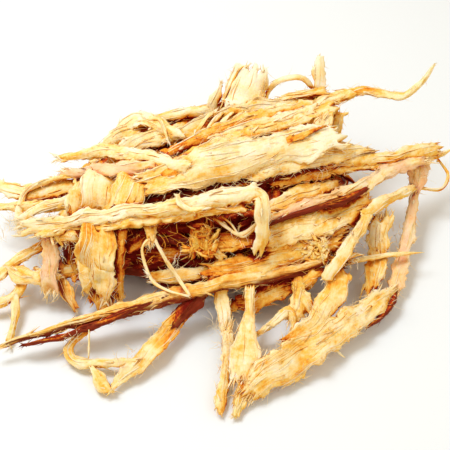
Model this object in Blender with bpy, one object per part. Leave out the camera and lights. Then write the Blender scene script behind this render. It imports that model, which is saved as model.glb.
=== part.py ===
"""A heap of shredded dried pollock: torn strips of dried white fish that lie over each other in a mound.

Metres, +Z up. The origin is on the surface the heap lies on, under the middle of its outline. +X runs along
most of the strips, and -Y is the side that they hang and spread over. The strips' places are in millimetres.
"""

import math
import random
from collections import namedtuple

import bmesh
import bpy
from mathutils import Matrix, Vector, noise

MM = 0.001
SEED = 7

NODE_NAME = "pollock_heap"
FLESH_COLOUR = (0.90, 0.70, 0.36, 1.0)
FLESH_ROUGHNESS = 0.62

# The mound that the strips lie on, a dome with a lumpy side. It is smaller than the heap on every side. The
# smaller its shoulder number, the fuller its side.
CORE_MIDDLE = (-9.0, 20.0)
CORE_REACH = (76.0, 55.0)
CORE_HEIGHT = 46.0
CORE_SINK = 4.0
CORE_SHOULDER = 0.8
CORE_LUMP = 4.5
CORE_LUMPS_ROUND = 3.1
CORE_LUMPS_UP = 2.3
CORE_ROUND = 30
CORE_RINGS = 7

# A strip's outline: how many sides it has up to each width, the length of one stretch, and how far each
# station strays from even.
SIDES_TO_WIDTH = ((4, 5.5), (5, 9.5), (6, 40.0))
STRETCH = 20.0
WIDTH_STRAY = 0.16
THICK_STRAY = 0.22
PATH_STRAY = 0.9
TORN_END = 2.6
TIP_SHARE = 0.3

# The side of the block above the surface, which cuts the heap's flat foot.
BLOCK_SIZE = 400.0

# Which way the flat side of a strip faces before it is rolled: up and outwards.
FRONT_FACING = (0.0, -0.5, 0.87)
BACK_FACING = (0.0, 0.5, 0.87)

# The strips on the side that the front doesn't show: how many there are, how they spread round the mound in
# degrees and up its side from 0 to 1, how steeply they slant (those near the foot only a share of it), their
# half lengths, how far off the mound's middle each layer lies as a share of its size, how far their ends
# droop as a share of their length, how wide their ends are beside their middle, and their roll in degrees.
BACK_COUNT = 22
BACK_TURNS = (30.0, 168.0)
BACK_RISES = (0.03, 0.74)
TURN_STEP = 0.618
RISE_STEP = 0.755
BACK_SLANT = 80.0
BACK_SLANT_LEAST = 0.15
BACK_HALF = (24.0, 42.0)
BACK_LAYERS = (1.0, 1.03, 1.06)
BACK_DROOP = (0.10, 0.24)
BACK_TIPS = (0.4, 0.9)
BACK_ROLL = (-25.0, 25.0)
BACK_WIDTH = (6.0, 13.0)
BACK_THICK = (3.0, 4.5)
BACK_LOWEST = 3.0

# Thin strands that lie side by side across the ridge.
CROSS_COUNT = 6
CROSS_SPACING = 5.2
CROSS_ROUTE = ((-7.0, 42.0, 58.0), (-12.0, 32.0, 61.0), (-17.0, 23.0, 60.0))
CROSS_WIDTH = 2.8
CROSS_THICK = 1.6

# The middle of the heap's outline, in the frame that the strips' places are read in.
HEAP_MIDDLE = (-1.24, -17.20)

# A strip: its width, or its width at each place on its route, its thickness, how wide its two ends are beside
# its middle, the roll of its flat side at each end in degrees, and the places that its middle line passes
# through.
Strip = namedtuple("Strip", "name width thick tips roll route")

STRIPS = (
    # The long strips on the ridge, and what hangs from them.
    Strip("top_rail", (8, 8, 9, 11), 6, (1.0, 1.0), (-8, 8),
          ((-103, -24, 38), (-54, -24, 48), (-17, -23, 54), (17, -18, 57))),
    Strip("rail_under", (6, 7, 7, 6), 5, (0.8, 0.8), (25, 25),
          ((-97, -27, 36), (-55, -27, 44), (-17, -25, 49), (11, -23, 52))),
    Strip("rail_fringe", (7, 8, 6), 4, (0.7, 0.7), (0, 0), ((-92, -25, 33), (-82, -29, 37), (-73, -31, 37))),
    Strip("rail_tab", (11, 8, 8, 6), 4, (1.0, 1.0), (0, 10),
          ((17, -16, 57), (16, -25, 54), (17, -33, 45), (15, -38, 35))),
    Strip("rail_curl", 3, 2, (1.0, 0.8), (0, 0),
          ((-26, -14, 52), (-24, -27, 58), (-18, -31, 58), (-12, -31, 59))),
    Strip("slab", (17, 20, 21), 6, (0.7, 0.8), (-6, 4), ((-46, -8, 52), (4, 3, 60), (60, 26, 55))),
    Strip("slab_low", (13, 14, 9), 5, (0.7, 0.4), (0, 0), ((10, -2, 54), (40, 12, 53), (77, 28, 44))),
    Strip("slab_top", (7, 9, 11), 5, (0.6, 0.9), (0, 0), ((-12, 20, 58), (18, 28, 60), (49, 42, 58))),
    Strip("slab_end", (7, 10, 9), 4, (0.9, 0.8), (0, 0), ((55, 42, 58), (50, 31, 56), (44, 21, 52))),
    Strip("hollow", (4, 7, 5), 3, (0.7, 0.5), (0, 0), ((-38, -5, 54), (-28, -3, 57), (-14, 1, 61))),
    Strip("sheet_west", 10, 3, (0.8, 0.9), (0, 0), ((-74, -5, 54), (-75, -11, 47), (-76, -18, 40))),
    Strip("sheet_middle", 13, 3, (0.9, 0.9), (0, 15), ((-62, -5, 57), (-64, -12, 49), (-66, -19, 41))),
    Strip("sheet_east", 13, 3, (0.9, 1.0), (0, -10), ((-47, -3, 58), (-51, -12, 51), (-56, -21, 43))),
    Strip("back_rail", 7, 4, (0.5, 0.9), (0, 0), ((-88, 15, 48), (-59, 15, 54), (-19, -4, 60))),
    Strip("pink_rail", 7, 4, (0.6, 0.9), (0, 0), ((-87, 9, 44), (-64, 5, 50), (-35, 2, 57))),
    Strip("hump", 9, 4, (0.6, 0.8), (20, -20), ((-65, 35, 40), (-49, 42, 52), (-24, 25, 55))),
    Strip("hump_thread", 2, 2, (0.8, 0.6), (0, 0), ((-44, 39, 55), (-36, 36, 57), (-32, 23, 55))),
    Strip("hump_low", 9, 4, (0.6, 0.8), (0, 0), ((-68, 23, 46), (-59, 34, 47), (-44, 39, 48))),
    Strip("hump_shade", 10, 4, (0.6, 0.8), (0, 0), ((-62, 17, 46), (-47, 27, 50), (-26, 31, 52))),
    Strip("ridge_far", 8, 7, (0.6, 0.8), (0, 0), ((-44, 48, 46), (-14, 53, 49), (19, 58, 51))),
    Strip("ridge_gold", 9, 5, (0.4, 0.9), (10, 10), ((-40, 0, 55), (5, 18, 60), (58, 47, 57))),
    Strip("ridge_amber", 10, 4, (0.5, 0.9), (0, 0), ((-35, 11, 54), (5, 29, 60), (49, 48, 57))),
    Strip("ridge_back", 9, 4, (0.6, 0.9), (0, 0), ((-33, 26, 52), (6, 42, 57), (56, 57, 54))),
    Strip("tail_root", 8, 5, (1.0, 0.8), (0, 20), ((38, 40, 56), (56, 53, 57), (70, 59, 58))),
    Strip("tail", (5, 6, 5, 3, 2), 3, (1.0, 0.6), (0, 60),
          ((65, 57, 58), (76, 60, 58), (94, 55, 58), (104, 59, 62), (113, 69, 69))),
    Strip("blade", (22, 20, 15), 3, (1.0, 0.95), (0, 8), ((5, 44, 55), (9, 55, 60), (13, 63, 70))),
    Strip("blade_small", (6, 5, 3), 2, (1.0, 0.5), (0, 0), ((-10, 50, 50), (-7, 54, 57), (-4, 58, 63))),
    Strip("blade_east", 7, 2, (1.0, 0.9), (0, 0), ((50, 59, 57), (50, 64, 63), (50, 70, 71))),
    Strip("hoop", 3, 2, (0.9, 0.8), (0, 0),
          ((20, 51, 56), (22, 59, 58), (27, 62, 62), (34, 61, 66), (41, 61, 65), (48, 60, 57))),
    Strip("stub", 5, 3, (0.4, 1.0), (0, 0), ((25, 52, 57), (38, 54, 60), (53, 56, 61))),
    Strip("knot_drop", 8, 3, (1.1, 0.9), (0, 20), ((62, 46, 56), (60, 41, 48), (57, 36, 38))),
    # The side that the strips spread to.
    Strip("east_rail", (6, 8, 8, 9), 5, (0.7, 0.9), (6, 6),
          ((39, 10, 45), (63, 19, 43), (94, 30, 37), (118, 41, 32))),
    Strip("east_under", (4, 5, 5, 3), 4, (0.7, 0.9), (15, 15),
          ((45, 11, 42), (65, 16, 40), (94, 28, 34), (118, 39, 29))),
    Strip("east_spur", 3, 2, (1.2, 0.4), (0, 0), ((104, 34, 33), (113, 37, 29), (125, 42, 31))),
    Strip("skin_strip", (5, 6, 7, 9, 9, 7), 4, (0.7, 0.9), (0, 0),
          ((15, -21, 38), (37, -12, 39), (59, -2, 38), (75, 9, 37), (89, 22, 35), (109, 32, 33))),
    Strip("skin_lower", (3, 5, 6, 4), 4, (0.7, 0.7), (0, 0),
          ((16, -26, 37), (38, -18, 40), (61, -7, 39), (74, 4, 37))),
    Strip("east_fan", (9, 11, 7), 3, (0.9, 0.8), (0, 0), ((106, 34, 32), (105, 27, 26), (102, 19, 19))),
    Strip("east_fork", (5, 5, 6, 6), 4, (0.8, 1.0), (0, 20),
          ((103, 20, 23), (91, 8, 28), (80, -1, 31), (71, -11, 31))),
    Strip("east_fork_low", (6, 6, 7, 7), 4, (1.0, 0.9), (0, 0),
          ((73, -9, 31), (64, -25, 29), (56, -37, 26), (50, -45, 22))),
    Strip("east_drop", (6, 7, 8, 7), 4, (0.8, 1.0), (0, 0),
          ((102, 20, 19), (96, -8, 12), (92, -22, 9), (86, -42, 6))),
    Strip("curl", 2, 2, (1.0, 0.6), (0, 0), ((105, 22, 20), (117, 22, 19), (122, 31, 21), (117, 40, 25))),
    Strip("broad_drop", (12, 13, 12), 4, (0.9, 0.8), (0, 0), ((82, -3, 25), (79, -19, 15), (74, -43, 7))),
    Strip("needle", 3, 2, (1.1, 0.2), (0, 0), ((53, -34, 18), (77, -25, 16), (103, -20, 14))),
    # The strips that run out over the front.
    Strip("outer_sweep", (8, 12, 14, 16, 20, 16), 5, (0.9, 0.7), (0, 0),
          ((86, -40, 8), (73, -53, 10), (53, -71, 11), (35, -84, 10), (20, -94, 9), (8, -105, 5))),
    Strip("sweep_tip", (8, 5, 4), 3, (1.0, 0.8), (0, 0), ((8, -99, 8), (5, -106, 5), (4, -113, 3))),
    Strip("inner_front", (12, 12, 13, 10), 4, (0.9, 0.7), (0, 0),
          ((58, -35, 20), (53, -52, 18), (44, -67, 16), (28, -80, 14))),
    Strip("spindle", (5, 5, 11, 15, 13), 4, (1.0, 0.9), (0, 0),
          ((11, -46, 20), (10, -62, 16), (9, -76, 14), (8, -87, 12), (6, -98, 8))),
    Strip("front_drop", (8, 8, 5), 3, (1.0, 0.4), (0, 0), ((-3, -46, 20), (-2, -60, 10), (2, -73, 7))),
    Strip("frayed_drop", (8, 5, 6, 8), 3, (0.8, 0.9), (0, 20),
          ((-1, -69, 8), (-1, -86, 6), (-2, -97, 5), (-4, -112, 3))),
    Strip("front_tip", 6, 3, (1.1, 0.7), (0, 0), ((9, -97, 7), (6, -105, 4), (3, -113, 3))),
    Strip("front_gold", 8, 4, (0.7, 0.7), (0, 0), ((36, -38, 20), (36, -51, 14), (32, -65, 12))),
    Strip("ring_curl", 7, 4, (0.9, 0.8), (0, 0), ((47, -37, 21), (36, -46, 16), (42, -59, 13))),
    Strip("front_hook", (3, 4, 5, 5, 4, 3), 3, (0.8, 0.8), (0, 0),
          ((14, -72, 10), (19, -68, 12), (24, -65, 14), (30, -60, 15), (33, -65, 13), (31, -72, 10))),
    Strip("amber_strip", 10, 3, (0.6, 0.9), (0, 0), ((-1, -52, 9), (17, -49, 11), (40, -39, 17))),
    Strip("front_rail", (3, 6, 8, 8, 5), 5, (0.5, 0.5), (20, -20),
          ((-113, -79, 10), (-73, -66, 14), (-32, -55, 20), (18, -43, 22), (68, -30, 23))),
    Strip("front_branch", 4, 4, (0.5, 0.9), (0, 0), ((-69, -68, 12), (-49, -61, 15), (-19, -54, 19))),
    # The flank between the ridge and the front.
    Strip("under_slab", 10, 5, (0.8, 0.6), (0, 0), ((22, 1, 46), (43, 10, 44), (61, 19, 40))),
    Strip("mid_upper", 10, 4, (0.7, 0.8), (0, 0), ((20, -13, 40), (41, -2, 40), (59, 8, 36))),
    Strip("flank_slab", 14, 5, (0.8, 0.7), (0, 0), ((16, -28, 33), (43, -20, 34), (77, 1, 29))),
    Strip("flank_low", 12, 4, (0.7, 0.8), (0, 0), ((-13, -42, 24), (17, -37, 26), (61, -24, 25))),
    Strip("flank_pale", 8, 4, (0.7, 0.5), (0, 0), ((-40, -42, 19), (-24, -42, 21), (-5, -38, 23))),
    Strip("flank_dark", 9, 4, (0.8, 0.8), (0, 0), ((-54, -28, 22), (-33, -30, 24), (-5, -27, 27))),
    Strip("flank_ember", (7, 7, 5), 4, (0.8, 0.8), (0, 0), ((-56, -32, 28), (-48, -31, 31), (-38, -27, 41))),
    Strip("flank_amber", 10, 5, (0.7, 0.8), (0, 0), ((-9, -30, 33), (3, -30, 34), (16, -30, 36))),
    Strip("lumps", 13, 6, (0.9, 0.9), (0, 0), ((-14, -23, 42), (-13, -31, 36), (-12, -37, 30))),
    Strip("short_drop", 5, 3, (0.8, 1.0), (0, 0), ((-10, -24, 40), (-7, -33, 33), (-2, -38, 28))),
    Strip("bow_strand", 3, 2, (0.8, 1.1), (0, 0),
          ((-8, -22, 44), (-1, -28, 42), (6, -31, 40), (16, -25, 43))),
    Strip("flank_rough", 8, 5, (0.8, 0.8), (0, 0), ((37, -23, 32), (40, -28, 25), (39, -36, 18))),
    Strip("flank_white", 7, 4, (0.7, 0.7), (0, 0), ((47, -21, 29), (55, -25, 24), (62, -29, 20))),
    Strip("strand_root", 6, 4, (1.2, 0.7), (0, 0), ((-40, -22, 44), (-39, -28, 42), (-39, -33, 38))),
    Strip("strand_west", 1.5, 1.5, (1.0, 0.9), (0, 0),
          ((-39, -31, 39), (-43, -37, 37), (-42, -42, 31), (-39, -48, 26), (-36, -51, 24), (-29, -55, 24),
           (-19, -59, 25))),
    Strip("strand_east", 2.0, 1.8, (1.0, 0.9), (0, 0),
          ((-38, -31, 39), (-32, -41, 34), (-26, -48, 28), (-19, -59, 25))),
    Strip("left_front", (9, 9, 10, 7), 4, (0.9, 0.5), (0, 0),
          ((-12, -49, 18), (-26, -63, 11), (-38, -79, 8), (-57, -101, 4))),
    Strip("loop", (4, 4, 5, 4), 3, (1.0, 0.9), (0, 0),
          ((-66, -66, 14), (-79, -76, 6), (-73, -85, 5), (-46, -86, 8))),
    Strip("small_leaf", (2.5, 6, 6, 3), 3, (0.8, 0.5), (0, 0),
          ((-67, -87, 6), (-63, -94, 5), (-59, -99, 4), (-55, -101, 4))),
    # The broken ends that hang over the other side.
    Strip("leaf", (18, 20, 20, 17), 3, (1.0, 0.9), (0, 0),
          ((-66, -27, 44), (-66, -36, 37), (-67, -42, 28), (-67, -46, 20))),
    Strip("leaf_west", (9, 9, 8), 3, (1.0, 0.9), (0, 0), ((-72, -41, 28), (-72, -45, 21), (-71, -48, 14))),
    Strip("leaf_east", (11, 12, 9), 3, (1.0, 0.5), (0, 0), ((-63, -42, 31), (-63, -47, 22), (-63, -52, 12))),
    Strip("leaf_back", (14, 15, 14), 4, (1.0, 0.7), (0, 0), ((-64, -41, 21), (-65, -46, 12), (-66, -51, 5))),
    Strip("amber_drop", (5, 6, 7), 4, (1.0, 0.8), (0, 0), ((-54, -26, 43), (-55, -38, 28), (-56, -48, 13))),
    Strip("west_drop", 9, 4, (0.9, 1.0), (0, 0), ((-91, -24, 35), (-92, -36, 22), (-92, -45, 12))),
    Strip("west_amber", 7, 4, (0.9, 0.5), (0, 0), ((-90, -31, 22), (-85, -41, 12), (-78, -52, 5))),
    Strip("west_shade", 8, 4, (0.9, 0.6), (0, 0), ((-84, -20, 30), (-81, -29, 20), (-78, -38, 14))),
    Strip("west_low", 9, 4, (0.7, 0.9), (0, 0), ((-99, -35, 15), (-79, -33, 16), (-50, -30, 20))),
    Strip("west_spur", 6, 4, (1.0, 0.6), (0, 0), ((-88, -25, 29), (-107, -29, 20), (-124, -42, 12))),
    Strip("west_tongue", 8, 3, (1.0, 0.5), (0, 0), ((-88, -38, 18), (-102, -39, 17), (-114, -33, 18))),
    Strip("west_hook", 5, 3, (1.0, 0.9), (0, 0), ((-104, -38, 17), (-109, -46, 10), (-124, -52, 8))),
    Strip("west_foot", 4, 3, (1.0, 0.9), (0, 0), ((-109, -44, 11), (-109, -58, 6), (-111, -71, 3))),
    Strip("west_crook", (3, 3, 4, 5, 5), 3, (1.0, 1.0), (0, 0),
          ((-83, 7, 45), (-101, 8, 36), (-109, 6, 31), (-110, -2, 28), (-109, -11, 25))),
    Strip("west_long", 9, 4, (1.0, 0.7), (0, 0), ((-42, 3, 37), (-76, 4, 39), (-103, 8, 31), (-127, 17, 26))),
    Strip("west_mid", 6, 4, (1.0, 0.8), (0, 0),
          ((-44, -2, 36), (-76, -7, 37), (-103, -1, 30), (-125, 3, 24))),
    Strip("west_pale", 6, 3, (1.0, 0.8), (0, 0), ((-76, -4, 40), (-93, -5, 35), (-109, -11, 30))),
)


def on_mound(turn, rise, share):
    """A place on the mound: its angle about the middle, how far up the side, and a share of the size."""
    lean = rise * math.pi / 2.0
    inward = math.cos(lean) ** CORE_SHOULDER * share
    return (CORE_MIDDLE[0] + CORE_REACH[0] * inward * math.cos(turn),
            CORE_MIDDLE[1] + CORE_REACH[1] * inward * math.sin(turn),
            CORE_HEIGHT * share * math.sin(lean))


def back_strips():
    """The strips on the far side.

    Each touches the mound at its middle and runs on nearly straight, at its own slant, so its ends stand off.
    """
    draw = random.Random(SEED)
    made = []
    for place in range(BACK_COUNT):
        turn = math.radians(BACK_TURNS[0] + (BACK_TURNS[1] - BACK_TURNS[0]) * (place * TURN_STEP % 1.0))
        rise = BACK_RISES[0] + (BACK_RISES[1] - BACK_RISES[0]) * (place * RISE_STEP % 1.0)
        share = BACK_LAYERS[place % len(BACK_LAYERS)]
        middle = Vector(on_mound(turn, rise, share))
        beside = (Vector(on_mound(turn + 0.05, rise, share)) - middle).normalized()
        upward = (Vector(on_mound(turn, rise + 0.02, share)) - middle).normalized()
        outward = beside.cross(upward)
        slant = math.radians(BACK_SLANT * (BACK_SLANT_LEAST + rise)) * draw.uniform(-1.0, 1.0)
        along = beside * math.cos(slant) + upward * math.sin(slant)
        half = draw.uniform(*BACK_HALF)
        droop = half * draw.uniform(*BACK_DROOP)
        route = []
        for step in (-1.0, 0.0, 1.0):
            x, y, z = middle + along * (half * step) - outward * (droop * step * step)
            route.append((x, y, max(BACK_LOWEST, z)))
        made.append(Strip(
            f"back_{place}", draw.uniform(*BACK_WIDTH), draw.uniform(*BACK_THICK),
            (draw.uniform(*BACK_TIPS), draw.uniform(*BACK_TIPS)),
            (draw.uniform(*BACK_ROLL), draw.uniform(*BACK_ROLL)), tuple(route)))
    return made


def cross_strips():
    """The thin strands across the ridge."""
    return [Strip(f"cross_{place}", CROSS_WIDTH, CROSS_THICK, (0.9, 0.6), (0, 0),
                  tuple((x + place * CROSS_SPACING, y, z) for x, y, z in CROSS_ROUTE))
            for place in range(CROSS_COUNT)]


def on_route(route, share):
    """The point at a share of the way along a smooth curve through the route's points."""
    points = [Vector(point) for point in route]
    points = [2 * points[0] - points[1], *points, 2 * points[-1] - points[-2]]
    spans = len(points) - 3
    span = min(int(share * spans), spans - 1)
    u = share * spans - span
    before, start, end, after = points[span:span + 4]
    return 0.5 * (
        2 * start + (end - before) * u + (2 * before - 5 * start + 4 * end - after) * u ** 2
        + (3 * start - before - 3 * end + after) * u ** 3)


def width_at(widths, share):
    """The width at a share of the way through a strip's widths, one for each place on its route."""
    spans = len(widths) - 1
    span = min(int(share * spans), spans - 1)
    return widths[span] + (widths[span + 1] - widths[span]) * (share * spans - span)


def tip_factor(share, tips):
    """How wide a strip is at a share of its length, beside its middle: it eases in from each end's width."""
    def eased(distance):
        near = min(distance / TIP_SHARE, 1.0)
        return near * near * (3.0 - 2.0 * near)
    from_start = tips[0] + (1.0 - tips[0]) * eased(share)
    from_end = tips[1] + (1.0 - tips[1]) * eased(1.0 - share)
    return from_start * from_end


def add_strip(target, strip, facing):
    """Adds a strip to a bmesh as a closed body: rings of points along its route, torn at each end."""
    draw = random.Random(f"{SEED} {strip.name}")
    rough_length = sum((Vector(b) - Vector(a)).length for a, b in zip(strip.route, strip.route[1:]))
    stations = max(3, len(strip.route), round(rough_length / STRETCH) + 1)
    widths = strip.width if isinstance(strip.width, tuple) else (strip.width,) * len(strip.route)
    sides = next(count for count, widest in SIDES_TO_WIDTH if max(widths) <= widest)
    middles = [on_route(strip.route, i / (stations - 1)) for i in range(stations)]
    rings = []
    for i, middle in enumerate(middles):
        share = i / (stations - 1)
        along = (middles[min(i + 1, stations - 1)] - middles[max(i - 1, 0)]).normalized()
        across = along.cross(Vector(facing)).normalized()
        roll = math.radians(strip.roll[0] + (strip.roll[1] - strip.roll[0]) * share)
        across = Matrix.Rotation(roll, 3, along) @ across
        outward = across.cross(along)
        narrow = tip_factor(share, strip.tips)
        half_width = width_at(widths, share) / 2.0 * narrow * (1.0 + draw.uniform(-WIDTH_STRAY, WIDTH_STRAY))
        half_thick = strip.thick / 2.0 * narrow ** 0.5 * (1.0 + draw.uniform(-THICK_STRAY, THICK_STRAY))
        stray = across * draw.uniform(-PATH_STRAY, PATH_STRAY)
        stray += outward * draw.uniform(-PATH_STRAY, PATH_STRAY) / 2
        torn = {0: -1.0, stations - 1: 1.0}.get(i, 0.0)
        ring = []
        for side in range(sides):
            turn = 2.0 * math.pi * side / sides
            place = middle + stray + across * half_width * math.cos(turn)
            place += outward * half_thick * math.sin(turn)
            place += along * torn * draw.uniform(0.0, TORN_END)
            ring.append(target.verts.new(place * MM))
        rings.append(ring)
    for ring, following in zip(rings, rings[1:]):
        for side in range(sides):
            after = (side + 1) % sides
            target.faces.new((ring[side], following[side], following[after], ring[after]))
    target.faces.new(rings[0])
    target.faces.new(reversed(rings[-1]))


def object_from(target, name):
    """Makes an object from a bmesh, with its faces in triangles that point outwards, and frees the bmesh."""
    bmesh.ops.triangulate(target, faces=target.faces)
    bmesh.ops.recalc_face_normals(target, faces=target.faces)
    mesh = bpy.data.meshes.new(name)
    target.to_mesh(mesh)
    target.free()
    return bpy.data.objects.new(name, mesh)


def make_core():
    """The lumpy dome under the strips, with its foot below the surface that the heap lies on."""
    target = bmesh.new()
    rings = []
    for level in range(CORE_RINGS):
        rise = math.sin(math.pi / 2.0 * level / CORE_RINGS)
        inward = math.cos(math.pi / 2.0 * level / CORE_RINGS) ** CORE_SHOULDER
        ring = []
        for step in range(CORE_ROUND):
            turn = 2.0 * math.pi * step / CORE_ROUND
            around = Vector((math.cos(turn), math.sin(turn), 0.0)) * CORE_LUMPS_ROUND
            lump = CORE_LUMP * noise.noise(around + Vector((0.0, 0.0, CORE_LUMPS_UP * level)))
            x = CORE_MIDDLE[0] + (CORE_REACH[0] * inward + lump) * math.cos(turn)
            y = CORE_MIDDLE[1] + (CORE_REACH[1] * inward + lump) * math.sin(turn)
            z = (CORE_HEIGHT + CORE_SINK) * rise - CORE_SINK + lump / 3
            ring.append(target.verts.new(Vector((x, y, z)) * MM))
        rings.append(ring)
    for ring, following in zip(rings, rings[1:]):
        for step in range(CORE_ROUND):
            after = (step + 1) % CORE_ROUND
            target.faces.new((ring[step], ring[after], following[after], following[step]))
    peak = target.verts.new(Vector((*CORE_MIDDLE, CORE_HEIGHT)) * MM)
    for step in range(CORE_ROUND):
        target.faces.new((rings[-1][step], rings[-1][(step + 1) % CORE_ROUND], peak))
    target.faces.new(reversed(rings[0]))
    return object_from(target, NODE_NAME)


def make_block():
    """The space above the surface that the heap lies on, as a block."""
    target = bmesh.new()
    bmesh.ops.create_cube(target, size=BLOCK_SIZE * MM)
    bmesh.ops.translate(target, verts=target.verts, vec=(0.0, 0.0, BLOCK_SIZE / 2.0 * MM))
    return object_from(target, "above_surface")


def apply_boolean(solid, operation, tool):
    """Applies one Boolean to a solid, with a collection or an object, and removes what it used."""
    change = solid.modifiers.new(operation.lower(), "BOOLEAN")
    change.operation = operation
    change.solver = "MANIFOLD"
    if isinstance(tool, bpy.types.Collection):
        change.operand_type = "COLLECTION"
        change.collection = tool
        used = list(tool.objects)
    else:
        change.object = tool
        used = [tool]
    bpy.context.view_layer.update()
    result = bpy.data.meshes.new_from_object(solid.evaluated_get(bpy.context.evaluated_depsgraph_get()))
    solid.modifiers.clear()
    solid.data = result
    for thing in used:
        bpy.data.objects.remove(thing)
    if isinstance(tool, bpy.types.Collection):
        bpy.data.collections.remove(tool)


def keep_outer_shell(solid):
    """Drops every shell but the largest: the walls of sealed hollows, which fills them, and loose scraps."""
    target = bmesh.new()
    target.from_mesh(solid.data)
    waiting, shells = set(target.faces), []
    while waiting:
        found, front = set(), [waiting.pop()]
        while front:
            face = front.pop()
            found.add(face)
            for edge in face.edges:
                for other in edge.link_faces:
                    if other in waiting:
                        waiting.remove(other)
                        front.append(other)
        shells.append(found)
    shells.sort(key=len)
    for shell in shells[:-1]:
        bmesh.ops.delete(target, geom=list(shell), context="FACES")
    target.to_mesh(solid.data)
    target.free()


def flesh_material():
    material = bpy.data.materials.new("dried_pollock")
    material.use_nodes = True
    shader = material.node_tree.nodes["Principled BSDF"]
    shader.inputs["Base Color"].default_value = FLESH_COLOUR
    shader.inputs["Roughness"].default_value = FLESH_ROUGHNESS
    shader.inputs["Metallic"].default_value = 0.0
    return material


def main():
    for thing in list(bpy.data.objects):
        bpy.data.objects.remove(thing)
    heap = make_core()
    bpy.context.scene.collection.objects.link(heap)
    strips = bpy.data.collections.new("strips")
    bpy.context.scene.collection.children.link(strips)
    groups = ((STRIPS, FRONT_FACING), (cross_strips(), FRONT_FACING), (back_strips(), BACK_FACING))
    for group, facing in groups:
        for strip in group:
            target = bmesh.new()
            add_strip(target, strip, facing)
            strips.objects.link(object_from(target, strip.name))
    apply_boolean(heap, "UNION", strips)
    block = make_block()
    bpy.context.scene.collection.objects.link(block)
    apply_boolean(heap, "INTERSECT", block)
    keep_outer_shell(heap)
    heap.data.transform(Matrix.Translation((-HEAP_MIDDLE[0] * MM, -HEAP_MIDDLE[1] * MM, 0.0)))
    heap.data.name = NODE_NAME
    heap.data.materials.clear()
    heap.data.materials.append(flesh_material())


main()
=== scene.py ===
"""The looks of a heap of shredded dried pollock: torn strips of dried white fish with their fibres and edges.

The strips' places are in millimetres, in the frame that they were laid out in. The heap's own frame has its
origin under the middle of its outline.
"""

import math
import random
from collections import namedtuple

import bpy
import numpy as np
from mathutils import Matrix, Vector


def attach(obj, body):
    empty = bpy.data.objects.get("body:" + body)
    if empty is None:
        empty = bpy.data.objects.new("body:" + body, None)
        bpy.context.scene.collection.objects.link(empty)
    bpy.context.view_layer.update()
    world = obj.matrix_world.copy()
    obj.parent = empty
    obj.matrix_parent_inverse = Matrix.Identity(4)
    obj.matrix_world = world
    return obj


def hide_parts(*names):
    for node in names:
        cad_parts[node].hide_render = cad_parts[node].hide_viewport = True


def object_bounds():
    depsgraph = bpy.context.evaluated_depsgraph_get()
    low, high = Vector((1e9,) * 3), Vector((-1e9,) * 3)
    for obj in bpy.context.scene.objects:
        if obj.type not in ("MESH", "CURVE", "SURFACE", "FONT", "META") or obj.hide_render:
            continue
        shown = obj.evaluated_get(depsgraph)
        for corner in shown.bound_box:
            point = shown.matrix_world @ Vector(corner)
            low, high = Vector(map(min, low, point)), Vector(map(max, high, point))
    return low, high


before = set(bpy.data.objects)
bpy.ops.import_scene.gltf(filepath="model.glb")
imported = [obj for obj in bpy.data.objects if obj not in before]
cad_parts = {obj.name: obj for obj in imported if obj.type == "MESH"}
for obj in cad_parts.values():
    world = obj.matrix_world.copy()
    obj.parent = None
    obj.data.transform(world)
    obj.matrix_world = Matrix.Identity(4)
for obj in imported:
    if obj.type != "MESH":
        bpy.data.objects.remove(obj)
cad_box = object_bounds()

MM = 0.001
NODE = "pollock_heap"
SEED = 7
HEAP_MIDDLE = (-1.24, -17.20)
FULL_TURN = 2.0 * math.pi
QUARTER_TURN = math.pi / 2.0

# The view: how steeply it looks down, and the camera's place in the frame that the strips are laid out in.
VIEW_ELEVATION = 47.0
CAMERA_PLACE = (-1.65, -402.36, 445.19)
LENS_MM = 87.3
SENSOR_MM = 36.0

# The light and the floor, in metres. A lamp has its name, its place, its size and its power.
SURROUND_COLOUR = (1.0, 0.81, 0.61, 1.0)
SURROUND_STRENGTH = 0.71
LAMPS = (("key", (-0.30, 0.12, 0.75), 0.3, 4.1), ("fill", (0.45, -0.55, 0.5), 0.6, 0.9))
LAMP_COLOUR = (0.98, 0.985, 1.0)
LAMP_AIM = (0.0, 0.0, 0.02)
FLOOR_COLOUR = (0.82, 0.92, 1.0, 1.0)
FLOOR_ROUGHNESS = 0.9
FLOOR_SHINE = 0.1
FLOOR_HALF = 3.0

# The mound under the strips, and the relief on it: how high, how long and wide it is, and how it leans.
CORE_MIDDLE = (-9.0, 20.0)
CORE_REACH = (76.0, 55.0)
CORE_HEIGHT = 46.0
CORE_SHOULDER = 0.8
CORE_SHARE = 0.93
CORE_ROUND = 220
CORE_RINGS = 70
CORE_TOP = 0.995
CORE_SIDE_SHARE = 1.6
CORE_BULGES = ((1.6, 4.5, 18.0, 0.8), (1.0, 2.2, 12.0, -0.6))
CORE_LIFT = 0.5
# The mound's deep tone is painted shade for the bottom of the gaps.
CORE_SHADE_TONE = 0.82
CORE_BULGE_TONE = 0.08

# The strips on the side that the front doesn't show: how many there are, how they spread round the mound in
# degrees and up its side from 0 to 1, how steeply they slant (those near the foot only a share of it), their
# half lengths, how far off the mound's middle each layer lies as a share of its size, how far their ends
# droop as a share of their length, how wide their ends are beside their middle, and their roll in degrees.
# The probes are the small steps that find which way the mound's side runs.
BACK_COUNT = 22
BACK_TURNS = (30.0, 168.0)
BACK_RISES = (0.03, 0.74)
TURN_STEP = 0.618
RISE_STEP = 0.755
BACK_SLANT = 80.0
BACK_SLANT_LEAST = 0.15
BACK_HALF = (24.0, 42.0)
BACK_LAYERS = (1.0, 1.03, 1.06)
BACK_DROOP = (0.10, 0.24)
BACK_TIPS = (0.4, 0.9)
BACK_ROLL = (-25.0, 25.0)
BACK_WIDTH = (6.0, 13.0)
BACK_THICK = (3.0, 4.5)
BACK_LOWEST = 3.0
BACK_KINDS = ("golden", "pale", "golden", "smooth", "pale")
PROBE_TURN = 0.05
PROBE_RISE = 0.02

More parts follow.
